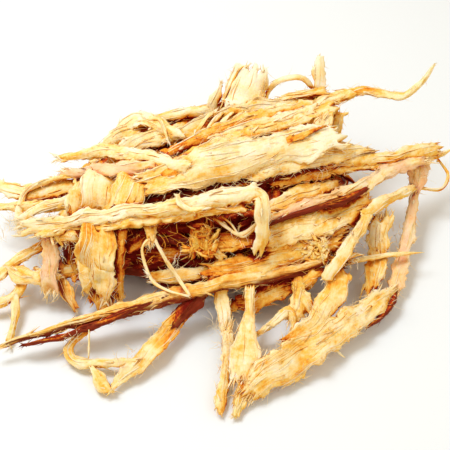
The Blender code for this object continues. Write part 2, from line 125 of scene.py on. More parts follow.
# Thin strands that lie side by side across the ridge.
CROSS_COUNT = 6
CROSS_SPACING = 5.2
CROSS_ROUTE = ((-7.0, 42.0, 58.0), (-12.0, 32.0, 61.0), (-17.0, 23.0, 60.0))
CROSS_WIDTH = 2.8
CROSS_THICK = 1.6

# Places where the flesh has broken into crumbs: their kind, the middle, how far they spread across and up the
# side, and how many there are.
CRUMBS = (
    ("amber", (-13.0, -31.0, 39.0), 8.0, 9.0, 30),
    ("golden", (38.0, -31.0, 29.0), 12.0, 6.0, 60),
    ("pale", (-82.0, -29.0, 36.0), 8.0, 2.5, 16),
)
CRUMB_LENGTH = (2.4, 6.5)
CRUMB_WIDTH = (1.5, 3.4)
CRUMB_THICK = (1.4, 2.6)
CRUMB_TIPS = (0.5, 1.0)
CRUMB_SHADE = (-0.15, 0.1)
ANY_ROLL = (-40.0, 40.0)
UP_THE_SIDE = (0.0, 0.73, 0.68)

# Short strips that lie on the mound and show in the gaps, their deeper tone painted shade for the gaps: how
# many there are, how far up the side, how far they climb to each end, how far off the mound's middle they
# lie, and their sizes.
UNDER_COUNT = 150
UNDER_RISE = (0.05, 0.85)
UNDER_RISE_POWER = 0.9
UNDER_CLIMB = (-0.22, 0.22)
UNDER_SHARE = (0.97, 1.05)
UNDER_LENGTH = (26.0, 70.0)
UNDER_WIDTH = (3.5, 9.0)
UNDER_THICK = (2.0, 3.6)
UNDER_TIPS = (0.3, 0.9)
UNDER_SHADE = (0.3, 0.6)
UNDER_STEPS = (-1.0, -0.35, 0.35, 1.0)
UNDER_LEAST_ROUND = 0.3
UNDER_LIMITS = (0.03, 0.98)
UNDER_KINDS = ("amber", "amber", "golden", "skin")

# Tufts of fine curled fibres: the middle of each, how far it spreads, how many fibres it has and their tone.
TUFTS = (
    ((-113, -14, 32), 4, 26, 0.0), ((-81, -31, 34), 8, 26, 0.16), ((-6, -64, 9), 4, 20, 0.0),
    ((-3, -75, 7), 4, 22, 0.0), ((-34, -68, 11), 5, 16, 0.1), ((-47, -81, 9), 5, 16, 0.1),
    ((63, -34, 22), 4, 14, 0.0), ((92, -6, 15), 5, 14, 0.0), ((-78, -74, 13), 6, 16, 0.1),
    ((-113, -49, 10), 4, 12, 0.0), ((59, -62, 14), 6, 14, 0.0), ((-3, -90, 6), 4, 10, 0.0),
    ((-37, -31, 41), 4, 14, 0.3), ((-88, -47, 13), 4, 12, 0.2), ((6, -35, 38), 7, 12, 0.1),
    ((48, 5, 49), 5, 12, 0.0), ((-66, -14, 46), 4, 14, 0.1), ((72, -18, 17), 5, 12, 0.1),
    ((108, 26, 25), 4, 12, 0.0), ((8, -101, 7), 5, 16, 0.0), ((-72, -46, 24), 5, 18, 0.0),
    ((-60, -50, 18), 5, 18, 0.0), ((-118, -20, 27), 5, 16, 0.0), ((-26, -41, 34), 4, 14, 0.0),
    ((44, -62, 17), 5, 16, 0.0), ((84, -48, 10), 5, 14, 0.0), ((-52, -88, 9), 5, 14, 0.1),
    ((20, -30, 38), 6, 14, 0.1), ((-95, -40, 18), 5, 16, 0.0), ((78, -20, 16), 5, 14, 0.1),
)
TUFT_LENGTH = (4.0, 12.0)
TUFT_WIDTH = (0.16, 0.34)

# The webs in the deep places, listed like the tufts. Their fibres are coarser.
WEBS = (
    ((-28, -31, 38), 11, 22, 0.62), ((-48, -32, 35), 9, 20, 0.64), ((-6, -33, 37), 7, 10, 0.58),
    ((-36, -36, 30), 10, 18, 0.66), ((-60, -24, 30), 7, 10, 0.62),
)
WEB_LENGTH = (6.0, 16.0)
WEB_WIDTH = (0.28, 0.50)

# A fibre of a tuft or a web: its points, how far it curls, how close its root is to the middle, how much of
# its reach the curl takes, how far it swings aside, and how much thinner its tip is.
TUFT_STEPS = 8
TUFT_CURL = 2.4
TUFT_CROWD = 2.5
TUFT_REACH_LOSS = 0.4
TUFT_SWING = 0.6
TUFT_THIN = 0.7

# Which way the strips' flat sides face, in front and at the back.
FRONT_FACING = (0.0, -0.5, 0.87)
BACK_FACING = (0.0, 0.5, 0.87)

# How fine the strips' meshes are. The strips at the back and under the others are coarser by a share, and
# have a share of the loose fibres.
STATION_STEP = 1.0
ROUND_STEP = 0.6
FEWEST_ROUND = 12
MOST_ROUND = 64
CURVE_PARTS = 40
BACK_FINENESS, BACK_HAIR = 0.75, 0.25
UNDER_FINENESS, UNDER_HAIR = 0.52, 0.15

# How a strip strays along its length: how far, and over how many millimetres. The sway to the side is a share
# of the strip's width.
ROLL_STRAY = (0.25, 20.0)
SIDE_STRAY = (1.0, 13.0)
LIFT_STRAY = (0.6, 10.0)
WIDTH_STRAY = (0.16, 9.0)
THICK_STRAY = (0.3, 8.0)
CUP_STRAY = (0.15, 22.0)
SWAY_SHARE = 0.09
SWAY_MOST = 0.8

# The ends of a strip: the share of its length over which it narrows, the millimetres over which it thins, and
# how far and how wide the teeth are that its torn end has.
TIP_SHARE = 0.3
END_TAPER = 4.0
END_THIN = 0.06
TEETH_SPAN = 6.0
TEETH_WIDTH = 1.6
TEETH_REACH = 0.30
TEETH_LEAST = 0.5
TEETH_MOST = 4.5

# The relief of a strip's sides: how long and wide each form is in millimetres, how it leans, whether it is a
# crease of some width or a hollow where the heights pass a level, how high it stands on smooth flesh and how
# much more on rough flesh, and how much deeper in tone it is on each. That tone is painted shade and light:
# deeper where the relief sinks and paler where it stands up.
Form = namedtuple("Form", "long wide lean crease hollow height rough_height tone rough_tone")
FORMS = {
    "broad": Form(13.0, 5.0, 0.4, 0.0, 0.0, 0.30, 0.0, -0.08, 0.0),
    "lumps": Form(5.0, 3.0, -1.0, 0.0, 0.0, 0.08, 0.20, -0.05, 0.0),
    "grit": Form(2.2, 1.6, 1.0, 0.0, 0.0, 0.03, 0.26, 0.0, -0.06),
    "folds": Form(13.0, 4.5, 0.5, 0.20, 0.0, -0.03, -0.17, 0.02, 0.06),
    "threads": Form(7.0, 1.6, 2.0, 0.40, 0.0, -0.02, -0.10, 0.01, 0.03),
    "flakes": Form(3.0, 3.6, 5.0, 0.22, 0.0, 0.0, -0.28, 0.0, 0.06),
    "pits": Form(2.8, 2.2, 0.0, 0.0, 0.45, 0.0, -0.42, 0.0, 0.08),
}
HOLLOW_SPAN = 0.3
LEAN_MOST = 0.22
FULL_RELIEF_WIDTH = 9.0

# The tears in a strip's edges: how deep and how long the fine and the coarse ones are, and the notches.
TEARS = ((0.55, 1.6), (0.9, 5.5))
NOTCH_DEPTH = 1.1
NOTCH_LONG = 3.0
NOTCH_LEVEL = 0.5
NOTCH_SPAN = 0.25
EDGE_POWER = 6
SIDE_POWER = 0.8

# How the relief and the tears die away where a strip is thin or ends, and the share of its cupping that
# lowers its middle.
RELIEF_TAPER = 2.0
RELIEF_LEAST = 0.3
TEAR_FULL_HALF = 2.0
THINNEST_HALF = 0.3
CUP_LEVEL = 0.4

# How a strip's tone, its brown skin and its blush vary over it: by how much, and over how many millimetres
# along it and across it. Then what the edges add or take, and how far its fibres lean with its relief.
TONE_PATCHES = (0.09, 8.0, 4.0)
EDGE_TONE = 0.05
SKIN_PATCHES = (0.8, 10.0, 2.5)
SKIN_ON_EDGE = 1.6
SKIN_SPILL = 0.05
SKIN_LOSS = 0.25
BLUSH_PATCHES = (0.7, 9.0, 4.0)
BLUSH_LEVEL = 0.6
GRAIN_LEAN = 0.5

# The solids' box in the frame that the strips are laid out in, how far inside it the strips and their fibres
# stay, and how far over the floor the mound ends.
BOX_LOW, BOX_HIGH = (np.array(corner) / MM + np.array((*HEAP_MIDDLE, 0.0)) for corner in cad_box)
EDGE_GAP = 0.2
FLOOR_GAP = 0.25

# How the painted shade is found, which deepens the tone in gaps, under what lies above and on surfaces turned
# from the lamp: the size of the cells that the space is divided in, how far off a surface the near and the
# wide look go, the share of the shade that each look, what lies above and a surface turned from the lamp
# give, where each of the first three starts and how far it goes on rising, and the powers that soften it, for
# all and then for loose fibres once more.
SHADE_CELL = 1.2
SHADE_MARGIN = 6.0
WIDE_PASSES = 5
NEAR_PROBE = 1.8
WIDE_PROBE = 4.5
SHADE_TIGHT = 0.35
SHADE_WIDE = 0.45
SHADE_ABOVE = 0.55
SHADE_TURNED_FROM_LAMP = 0.34
TIGHT_RISE = (0.10, 0.35)
WIDE_RISE = (0.10, 0.30)
ABOVE_RISE = (0.6, 4.0)
TURNED_SHADE_LEVEL = 0.72
SHADE_CURVE = 1.4
SHADE_FIBRE_POWER = 2.6
TO_LAMP = (-0.37, 0.15, 0.92)

# A kind of strip: its tone from pale 0 to deep 1, how much brown skin its lower edge keeps, its pink blush,
# how rough its sides are from 0 to 1, how ragged its edges are in millimetres, and how many loose fibres,
# lifted flakes and long strands there are on a square centimetre of it.
Kind = namedtuple("Kind", "tone skin blush rough ragged fuzz flakes strands")
KINDS = {
    "smooth": Kind(0.16, 0.0, 0.0, 0.15, 0.9, 5.0, 0.4, 0.9),
    "pale": Kind(0.10, 0.0, 0.0, 0.35, 1.1, 6.5, 0.8, 1.4),
    "straw": Kind(0.21, 0.0, 0.0, 0.4, 1.4, 6.5, 1.0, 1.4),
    "golden": Kind(0.23, 0.0, 0.0, 0.55, 1.4, 4.8, 1.4, 1.2),
    "amber": Kind(0.45, 0.0, 0.0, 0.7, 1.4, 4.0, 1.2, 0.8),
    "skin": Kind(0.26, 1.0, 0.1, 0.6, 1.2, 4.8, 1.2, 1.2),
    "pink": Kind(0.10, 0.1, 0.6, 0.6, 1.4, 5.0, 1.2, 0.8),
    "rust": Kind(0.60, 1.8, 0.0, 0.6, 1.2, 4.0, 1.2, 1.2),
}
PALE_KINDS = ("smooth", "pale", "straw")

# What comes loose from a strip: how much a count varies, how much brown skin it keeps, how its tone strays,
# and how a fibre or a flake tapers. Then, for fine fibres, flat flakes, long strands and the splinters past a
# torn end: the share of the tone that they keep, their sizes, how they lean, scatter and bend, and how deep
# their roots are.
COUNT_RANGE = (0.8, 1.2)
LOOSE_SKIN = 1.4
LOOSE_TONE_STRAY = 0.1
SLIVER_TAPER = 0.9
SLIVER_TAPER_POWER = 1.6
SLIVER_UNEVEN = (0.75, 1.25)
FUZZ_TONE = 0.55
FUZZ_LEAN = (0.25, 1.2)
FUZZ_LENGTH = (1.2, 5.0)
FUZZ_WIDTH = (0.18, 0.40)
FUZZ_ON_SIDES = 0.15
FUZZ_SCATTER = 0.15
FUZZ_BEND = 0.30
FUZZ_DROOP = 0.1
FUZZ_ROOT = 0.3
FLAKE_TONE = 0.85
FLAKE_LEAN = (0.02, 0.30)
FLAKE_LENGTH = (2.5, 8.0)
FLAKE_WIDTH = (0.7, 1.9)
FLAKE_FLATNESS = 0.3
FLAKE_ON_TOP = 0.4
FLAKE_SCATTER = 0.3
FLAKE_BEND = 0.12
FLAKE_CURL = (-0.1, 0.2)
FLAKE_ROOT = 0.6
FLAKE_SINK = 0.1
STRAND_TONE = 0.75
STRAND_STEPS = 8
STRAND_SPAN = (8.0, 26.0)
STRAND_HALF = (0.22, 0.55)
STRAND_RISE = (0.0, 0.35)
STRAND_SINK = 0.12
STRAND_FLATNESS = 0.7
STRAND_ON_TOP = 0.35
STRAND_MOST = 0.8
STRAND_DRIFT = 0.10
STRAND_TIP = 0.02
FRAY_TONE = 0.7
FRAY_LENGTH = (1.5, 4.5)
FRAY_COUNT = 2.0
FRAY_COUNT_EACH_MM = 0.8
FRAY_REACH = 0.6
FRAY_REACH_MORE = 0.7
FRAY_MOST = 1.6
FRAY_ROOTS = (0.2, 0.95)
FRAY_SPREAD = 0.30
FRAY_SCATTER = 0.14
FRAY_BEND = 0.22
FRAY_SINK = 1.5
# The flat splinters and the fibres of a frayed end: how many, their widths and how flat they are.
FRAY_SORTS = ((1.3, (0.7, 2.0), 0.35), (2.6, (0.2, 0.5), 1.0))

# The flesh's noises: how a noise is stretched along, across and between the fibres, and how detailed it is,
# or how fine it is in the heap's own frame.
STREAKS = ((0.07, 0.42, 1.0), 4.0)
THREADS = ((0.16, 1.8, 1.0), 3.0)
CRACKS = ((0.05, 0.55, 1.3), 2.0)
CRACK_WIDTH = 0.035
PATCH_SCALE, PATCH_DETAIL = 120.0, 3.0
MOTTLE_SCALE = 420.0
SPECKLE_SCALE = 1100.0
FINE_DETAIL = 2.0
EVEN = (1.0, 1.0, 1.0)

# How much each noise beside the streaks deepens the tone, their mean, which is taken off, and how the detail
# grows with the tone. Then the share of the soft patches and of the painted shade in it, how the skin is
# streaked and broken, how high the fibres stand, and how the roughness varies.
THREAD_TONE = 0.4
MOTTLE_TONE = 0.5
SPECKLE_TONE = 0.4
CRACK_TONE = 0.03
DETAIL_MEAN = 1.15
DETAIL_LEAST = 0.30
DETAIL_GROWTH = 0.9
PATCH_TONE = 0.4
PAINTED_SHADE_TONE = 0.8
SKIN_STREAKS = 0.6
SKIN_BREAKS = 0.9
STREAK_HEIGHT = 0.9
SPECKLE_HEIGHT = 0.8
BUMP_STRENGTH = 0.45
BUMP_DEPTH = 0.0008
ROUGHNESS_SPAN = (-0.14, 0.16)
SHINE = 0.07

# How the flesh's colour runs from the palest tone to the deepest, the colours of the brown skin and of the
# blush, and how far red, green and blue light spreads inside it in millimetres.
FLESH_RAMP = (
    (0.00, (1.00, 0.92, 0.70)),
    (0.20, (0.99, 0.80, 0.41)),
    (0.40, (0.95, 0.58, 0.105)),
    (0.60, (0.84, 0.32, 0.022)),
    (0.80, (0.52, 0.060, 0.009)),
    (1.00, (0.20, 0.007, 0.003)),
)
SKIN_DARK = (0.085, 0.007, 0.003, 1.0)
SKIN_LIGHT = (0.33, 0.048, 0.016, 1.0)
BLUSH_COLOUR = (0.86, 0.53, 0.38, 1.0)
GLOW_RADIUS = (1.0, 0.75, 0.45)

# A strip: its kind, its width and thickness, how wide its two ends are beside its middle, the places that its
# middle line passes through, how much deeper its tone is at each end, how far its two ends are frayed, and
# the roll of its flat side at each end in degrees.
Strip = namedtuple("Strip", "name kind width thick tips route shade fray roll",
                   defaults=((0, 0), (0.3, 0.3), (0, 0)))

STRIPS = (
    # The long strips on the ridge, and what hangs from them.
    Strip("top_rail", "pale", (8, 8, 9, 11), 6, (1, 1),
          ((-103, -24, 38), (-54, -24, 48), (-17, -23, 54), (17, -18, 57)),
          (-0.02, -0.08), (0.9, 0), (-8, 8)),
    Strip("rail_under", "golden", (6, 7, 7, 6), 5, (0.8, 0.8),
          ((-97, -27, 36), (-55, -27, 44), (-17, -25, 49), (11, -23, 52)), (0, 0.1), (0.8, 0.2), (25, 25)),
    Strip("rail_fringe", "golden", (7, 8, 6), 4, (0.7, 0.7),
          ((-92, -25, 33), (-82, -29, 37), (-73, -31, 37)), (0, 0), (1.2, 1.2)),
    Strip("rail_tab", "smooth", (9, 9, 8, 8, 6), 4, (0.8, 1),
          ((8, -19, 56), (15, -20, 57), (17, -27, 53), (17, -34, 45), (15, -38, 35)),
          (-0.1, -0.1), (0, 0.3), (0, 10)),
    Strip("rail_curl", "pale", 3, 2, (1, 0.8),
          ((-26, -14, 52), (-24, -27, 58), (-18, -31, 58), (-12, -31, 59)), (0, 0), (0.2, 0.2)),
    Strip("slab", "pale", (17, 20, 21), 6, (0.7, 0.8),
          ((-46, -8, 52), (4, 3, 60), (60, 26, 55)), (0.06, -0.1), (0.6, 0.3), (-6, 4)),
    # The cleft is a thin amber strip that paints the shade between the slab and the strip over it.
    Strip("cleft", "amber", (2, 4.5, 3), 1.4, (0.5, 0.5),
          ((18, 6, 61.3), (34, 16.5, 61.8), (50, 27, 61)), (0.1, 0.1), (0.2, 0.2)),
    # slab_shade, and slab_edge further on, are dark strips laid in the gap under the slab as painted shade.
    Strip("slab_shade", "rust", 6, 4, (0.8, 0.8), ((-50, -12, 42), (-20, -9, 45), (4, -4, 47), (27, 4, 48))),
    Strip("slab_low", "pale", (13, 14, 9), 5, (0.7, 0.4),
          ((10, -2, 54), (40, 12, 53), (77, 28, 44)), (0, 0.1)),
    # A dark strip along the gap under the slab: painted shade.
    Strip("slab_edge", "rust", 3, 3, (0.7, 0.7), ((5, -1, 48), (21, 2, 49), (39, 10, 49), (48, 16, 49))),
    Strip("slab_top", "pale", (7, 9, 11), 5, (0.6, 0.9),
          ((-12, 20, 58), (18, 28, 60), (49, 42, 58)), (0.1, -0.04)),
    Strip("slab_end", "pale", (7, 10, 9), 4, (0.9, 0.8),
          ((55, 42, 58), (50, 31, 56), (44, 21, 52)), (0.2, 0)),
    # The hollow is an amber strip that paints the shade of a hollow at the slab's west end.
    Strip("hollow", "amber", (4, 7, 5), 3, (0.7, 0.5),
          ((-38, -5, 54), (-28, -3, 57), (-14, 1, 61)), (0.1, 0)),
    Strip("sheet_west", "smooth", 16, 3, (0.8, 0.9),
          ((-73, 4, 43), (-74, -7, 46), (-76, -18, 40)), (0.16, 0.08), (0.1, 0.3)),
    Strip("sheet_middle", "smooth", 25, 3, (0.9, 0.9),
          ((-60, 3, 46), (-63, -8, 49), (-65, -19, 41)), (-0.12, -0.06), (0.1, 0.4), (0, 10)),
    Strip("sheet_east", "smooth", 18, 3, (0.9, 1),
          ((-46, 2, 49), (-50, -9, 51.5), (-56, -21, 43)), (0.3, 0.12), (0.1, 0.8), (0, -10)),
    Strip("back_rail", "pale", 7, 4, (0.5, 0.9),
          ((-88, 15, 48), (-59, 15, 54), (-19, -4, 60)), (0.2, 0), (0.8, 0.3)),
    Strip("pink_rail", "pink", 7, 4, (0.6, 0.9),
          ((-87, 9, 44), (-64, 5, 50), (-35, 2, 57)), (0.1, 0.1), (0.7, 0.3)),
    Strip("hump", "pale", 9, 4, (0.6, 0.8),
          ((-65, 35, 40), (-49, 42, 52), (-24, 25, 55)), (0.1, 0), (0.3, 0.3), (20, -20)),
    Strip("hump_thread", "pale", 2, 2, (0.8, 0.6), ((-44, 39, 55), (-36, 36, 57), (-32, 23, 55))),
    Strip("hump_low", "golden", 9, 4, (0.6, 0.8), ((-68, 23, 46), (-59, 34, 47), (-44, 39, 48))),
    Strip("hump_shade", "pale", 10, 4, (0.6, 0.8), ((-62, 17, 46), (-47, 27, 50), (-26, 31, 52)), (0.2, 0.1)),
    Strip("ridge_far", "pale", 8, 7, (0.6, 0.8), ((-44, 48, 46), (-14, 53, 49), (19, 58, 51)), (0.1, 0.2)),
    Strip("ridge_gold", "golden", 9, 5, (0.4, 0.9),
          ((-40, 0, 55), (5, 18, 60), (58, 47, 57)), (0.3, -0.05), (0.3, 0.3), (10, 10)),
    Strip("ridge_amber", "golden", 10, 4, (0.5, 0.9), ((-35, 11, 54), (5, 29, 60), (49, 48, 57)), (0.42, 0)),
    Strip("ridge_back", "pale", 11, 4, (0.6, 0.9), ((-33, 26, 52), (6, 42, 57), (56, 56, 54)), (0.1, 0.05)),
    Strip("tail_root", "golden", 8, 5, (1, 0.8),
          ((38, 40, 56), (56, 53, 57), (70, 59, 58)), (-0.2, 0), (0.5, 0.2), (0, 20)),
    Strip("tail", "pale", (5, 6, 5, 3, 2), 3, (1, 0.6),
          ((65, 57, 58), (76, 60, 58), (94, 55, 58), (104, 59, 62), (113, 69, 69)),
          (0.3, 0), (0.1, 0.1), (0, 60)),
    # The blade is made paler than its kind as painted light on its face.
    Strip("blade", "smooth", (20, 20, 18), 3, (1, 0.95),
          ((5, 44, 55), (9, 55, 60), (13, 63, 70)), (-0.35, -0.25), (0.2, 0.35), (0, 8)),
    Strip("blade_edge", "skin", 1.4, 1.6, (1, 0.7), ((-4, 48, 55), (1, 57, 62), (6, 63, 70))),
    Strip("blade_small", "smooth", (6, 5, 3), 2, (1, 0.5),
          ((-10, 50, 50), (-7, 54, 57), (-4, 58, 63)), (-0.1, -0.1), (0.2, 0.4)),
    Strip("blade_east", "smooth", 7, 2, (1, 0.9),
          ((50, 59, 57), (50, 64, 63), (50, 70, 71)), (-0.15, -0.2), (0.2, 0.4)),
    Strip("hoop", "pale", 3, 2, (0.9, 0.8),
          ((20, 51, 56), (22, 59, 58), (27, 62, 62), (34, 61, 66), (41, 61, 65), (48, 60, 57))),
    Strip("stub", "golden", 5, 3, (0.4, 1), ((25, 52, 57), (38, 54, 60), (53, 56, 61))),
    Strip("knot_drop", "golden", 9, 2.2, (1.1, 0.8),
          ((60, 47, 57), (58, 43, 51), (55, 38, 43)), (0, 0.1), (0.2, 0.5), (0, 10)),
    # The side that the strips spread to.
    Strip("east_rail", "pale", (6, 8, 8, 9), 5, (0.7, 0.9),
          ((39, 10, 45), (63, 19, 43), (94, 30, 37), (118, 41, 32)), (0.3, 0.15), (0.3, 0.2), (6, 6)),
    Strip("east_under", "golden", (4, 5, 5, 3), 4, (0.7, 0.9),
          ((45, 11, 42), (65, 16, 40), (94, 28, 34), (118, 39, 29)), (0.1, 0.1), (0.3, 0.2), (15, 15)),
    Strip("east_spur", "pale", 3, 2, (1.2, 0.4), ((104, 34, 33), (113, 37, 29), (125, 42, 31))),
    Strip("skin_strip", "pink", (5, 6, 7, 9, 9, 7), 4, (0.7, 0.9),
          ((15, -21, 38), (37, -12, 39), (59, -2, 38), (75, 9, 37), (89, 22, 35), (109, 32, 33)),
          (0.2, 0), (0.3, 0.7)),
    Strip("skin_lower", "rust", (1.5, 3, 4.6, 3.4), 3.4, (0.7, 0.6),
          ((16, -25.5, 37.6), (38, -16.5, 41), (61, -6, 39.8), (74, 5, 37.5)), (0.3, 0.2), (0.2, 0.3)),
    Strip("east_fan", "pink", (9, 11, 7), 3, (0.9, 0.8),
          ((106, 34, 32), (105, 27, 26), (102, 19, 19)), (0, 0.1), (0.5, 0.3)),
    Strip("east_fork", "pale", (5, 5, 6, 6), 4, (0.8, 1),
          ((103, 20, 23), (91, 8, 28), (80, -1, 31), (71, -11, 31)), (0.1, 0.1), (0.3, 0.3), (0, 20)),
    Strip("east_fork_low", "pale", (6, 6, 7, 7), 4, (1, 0.9),
          ((73, -9, 31), (64, -25, 29), (56, -37, 26), (50, -45, 22)), (0.1, 0.1)),
    Strip("east_drop", "pink", (6, 7, 8, 7), 4, (0.8, 1),
          ((102, 20, 19), (96, -8, 12), (92, -22, 9), (86, -42, 6)), (0.1, 0.1), (0.4, 0.4)),
    Strip("curl", "golden", 2, 2, (1, 0.6), ((105, 22, 20), (117, 22, 19), (122, 31, 21), (117, 40, 25))),
    Strip("broad_drop", "golden", (12, 13, 12), 4, (0.9, 0.8),
          ((82, -3, 25), (79, -19, 15), (74, -43, 7)), (-0.05, 0.1), (0.9, 0.7)),
    Strip("needle", "golden", 3, 2, (1.1, 0.2),
          ((53, -34, 18), (77, -25, 16), (103, -20, 14)), (0, 0), (0.1, 0)),
    # The strips that run out over the front.
    Strip("outer_sweep", "straw", (8, 12, 14, 16, 20, 16), 5, (0.9, 0.7),
          ((86, -40, 8), (73, -53, 10), (53, -71, 11), (35, -84, 10), (20, -94, 9), (8, -105, 5)),
          (-0.08, 0.02), (0.3, 1)),
    Strip("sweep_skin", "rust", (3, 4, 2), 3, (0.8, 0.7), ((87, -43, 8), (81, -54, 7), (70, -64, 7))),
    Strip("sweep_tip", "golden", (8, 5, 4), 3, (1, 0.8),
          ((8, -99, 8), (5, -106, 5), (4, -113, 3)), (0, 0), (0.3, 0.7)),
    Strip("inner_front", "smooth", (12, 12, 13, 10), 3, (0.9, 0.7),
          ((58, -35, 20), (53, -52, 18), (44, -67, 16), (28, -80, 14)), (0.22, 0.12), (0.3, 0.4)),
    Strip("stray_south", "pale", 1.2, 1.2, (0.9, 0.6),
          ((51, -76, 9), (53, -77, 7), (56, -79, 4), (58, -80, 3)), (0, 0), (0.1, 0.1)),
    Strip("spindle", "smooth", (5, 5, 11, 15, 13), 3, (1, 0.9),
          ((11, -46, 20), (10, -62, 16), (9, -76, 14), (8, -87, 12), (6, -98, 8)), (0.1, -0.08), (0.1, 0.9)),
    Strip("front_drop", "smooth", (8, 8, 5), 3, (1, 0.4),
          ((-3, -46, 20), (-2, -60, 10), (2, -73, 7)), (0, 0), (0.1, 0.6)),
    Strip("frayed_drop", "golden", (8, 5, 6, 8), 3, (0.8, 0.9),
          ((-1, -69, 8), (-1, -86, 6), (-2, -97, 5), (-4, -112, 3)), (-0.2, 0.05), (1.6, 0.2), (0, 20)),
    Strip("front_tip", "golden", 6, 3, (1.1, 0.7),
          ((9, -97, 7), (6, -105, 4), (3, -113, 3)), (0, 0), (0.3, 0.8)),
    Strip("front_gold", "golden", 8, 4, (0.7, 0.7),
          ((36, -38, 20), (36, -51, 14), (32, -65, 12)), (0.2, 0), (0.5, 0.7)),
    Strip("ring_curl", "golden", 7, 4, (0.9, 0.8), ((47, -37, 21), (36, -46, 16), (42, -59, 13)), (0.2, 0.1)),
    Strip("front_hook", "golden", (3, 4, 5, 5, 4, 3), 3, (0.8, 0.8),
          ((14, -72, 10), (19, -68, 12), (24, -65, 14), (30, -60, 15), (33, -65, 13), (31, -72, 10)),
          (0, 0), (0.6, 0.4)),
    Strip("amber_strip", "amber", 10, 3, (0.6, 0.9),
          ((-1, -52, 9), (17, -49, 11), (40, -39, 17)), (0, -0.12)),
    Strip("front_rail", "skin", (3, 6, 8, 8, 5), 5, (0.5, 0.5),
          ((-113, -79, 10), (-73, -66, 14), (-32, -55, 20), (18, -43, 22), (68, -30, 23)),
          (0, 0.05), (0.2, 0.2), (20, -20)),
    Strip("rail_skin", "rust", (2.5, 3.5, 4, 4, 3), 3, (0.6, 0.5),
          ((-101, -78, 10), (-83, -74, 12), (-64, -69, 16), (-47, -62, 19), (-34, -57, 21)),
          (0.2, 0.2), (0.3, 0.5)),
    Strip("rail_lower", "rust", (3, 3, 3, 2), 3, (0.6, 0.6),
          ((-44, -58, 15), (-14, -51, 18), (21, -44, 20), (60, -35, 20))),
    Strip("front_branch", "skin", 4, 4, (0.5, 0.9),
          ((-69, -68, 12), (-49, -61, 15), (-19, -54, 19)), (0.3, 0.3)),
    # The flank between the ridge and the front.
    Strip("under_slab", "golden", 10, 5, (0.8, 0.6), ((22, 1, 46), (43, 10, 44), (61, 19, 40)), (0.2, 0.2)),
    Strip("mid_upper", "golden", 10, 4, (0.7, 0.8), ((20, -13, 40), (41, -2, 40), (59, 8, 36))),
    Strip("flank_slab", "golden", 14, 5, (0.8, 0.7),
          ((16, -28, 33), (43, -20, 34), (77, 1, 29)), (-0.08, -0.06)),
    Strip("flank_fill", "golden", 8, 4, (0.7, 0.7),
          ((14, -32, 30), (41, -26, 30), (68, -9, 27)), (0.1, 0.05)),
    Strip("flank_low", "golden", 12, 4, (0.7, 0.8),
          ((-13, -42, 24), (17, -37, 26), (61, -24, 25)), (0.3, 0.15)),
    Strip("flank_pale", "pale", 8, 4, (0.7, 0.5),
          ((-40, -42, 19), (-24, -42, 21), (-5, -38, 23)), (0.3, 0), (0.4, 0.5)),
    # flank_dark and flank_ember are deepened as painted shade for the dark place between the leaf and the
    # flank.
    Strip("flank_dark", "amber", 9, 4, (0.8, 0.8),
          ((-54, -28, 22), (-33, -30, 24), (-5, -27, 27)), (0.5, 0.3)),
    Strip("flank_ember", "amber", (7, 7, 5), 4, (0.8, 0.8),
          ((-56, -32, 28), (-48, -31, 31), (-38, -27, 41)), (0.35, 0.2), (0.3, 0.6)),
    Strip("flank_amber", "amber", 10, 5, (0.7, 0.8),
          ((-9, -30, 33), (3, -30, 34), (16, -30, 36)), (0.05, 0.05)),
    Strip("lumps", "amber", 13, 6, (0.9, 0.9),
          ((-14, -23, 42), (-13, -31, 36), (-12, -37, 30)), (-0.1, 0), (0.3, 0.1)),
    Strip("short_drop", "smooth", 5, 3, (0.8, 1), ((-10, -24, 40), (-7, -33, 33), (-2, -38, 28))),
    Strip("bow_strand", "pale", 1.9, 1.6, (0.8, 1.1),
          ((-8, -22, 44), (-1, -28, 42), (6, -31, 40), (16, -25, 43)), (0, 0), (0.6, 0.6)),
    Strip("bow_thread", "pale", 1.3, 1.2, (0.8, 1.1),
          ((-6, -21, 45), (1, -26, 43), (7, -32, 39), (15, -27, 42)), (0, 0), (0.6, 0.6)),
    Strip("flank_rough", "golden", 8, 5, (0.8, 0.8),
          ((37, -23, 32), (40, -28, 25), (39, -36, 18)), (0.15, 0.1), (0.4, 0.8)),
    Strip("flank_white", "pale", 7, 4, (0.7, 0.7), ((47, -21, 29), (55, -25, 24), (62, -29, 20))),
    Strip("strand_root", "golden", 6, 4, (1.2, 0.7),
          ((-40, -22, 44), (-39, -28, 42), (-39, -33, 38)), (0, 0), (0.2, 1)),
    Strip("strand_west", "pale", 1.5, 1.5, (1, 0.9),
          ((-39, -31, 39), (-43, -37, 37), (-42, -42, 31), (-39, -48, 26),
           (-36, -51, 24), (-29, -55, 24), (-19, -59, 25)), (0.1, 0), (0.2, 0.2)),
    Strip("strand_east", "pale", 2, 1.8, (1, 0.9),
          ((-38, -31, 39), (-32, -41, 34), (-26, -48, 28), (-19, -59, 25)), (0.1, 0), (0.2, 0.2)),
    # left_front's deep start and the dark left_skin strip over it are painted shade where it comes out from
    # under the flank.
    Strip("left_front", "smooth", (9, 9, 10, 7), 3, (0.9, 0.5),
          ((-12, -49, 18), (-26, -63, 11), (-38, -79, 8), (-57, -101, 4)), (0.62, 0), (0.2, 0.15)),
    Strip("left_skin", "rust", (8, 9, 9), 2.4, (0.9, 0.8),
          ((-13, -50.5, 18.6), (-20, -57.5, 15.2), (-27, -65, 11.6)), (0.4, 0.2), (0.1, 0.5)),
    Strip("loop", "pale", (4, 4, 5, 4), 3, (1, 0.9),
          ((-66, -66, 14), (-79, -76, 6), (-73, -85, 5), (-46, -86, 8)), (0.3, 0.05)),
    Strip("stray_hair", "pale", 0.9, 0.9, (0.9, 0.8),
          ((-69, -72, 15), (-69, -78, 9), (-69, -83, 6)), (0, 0), (0, 0)),
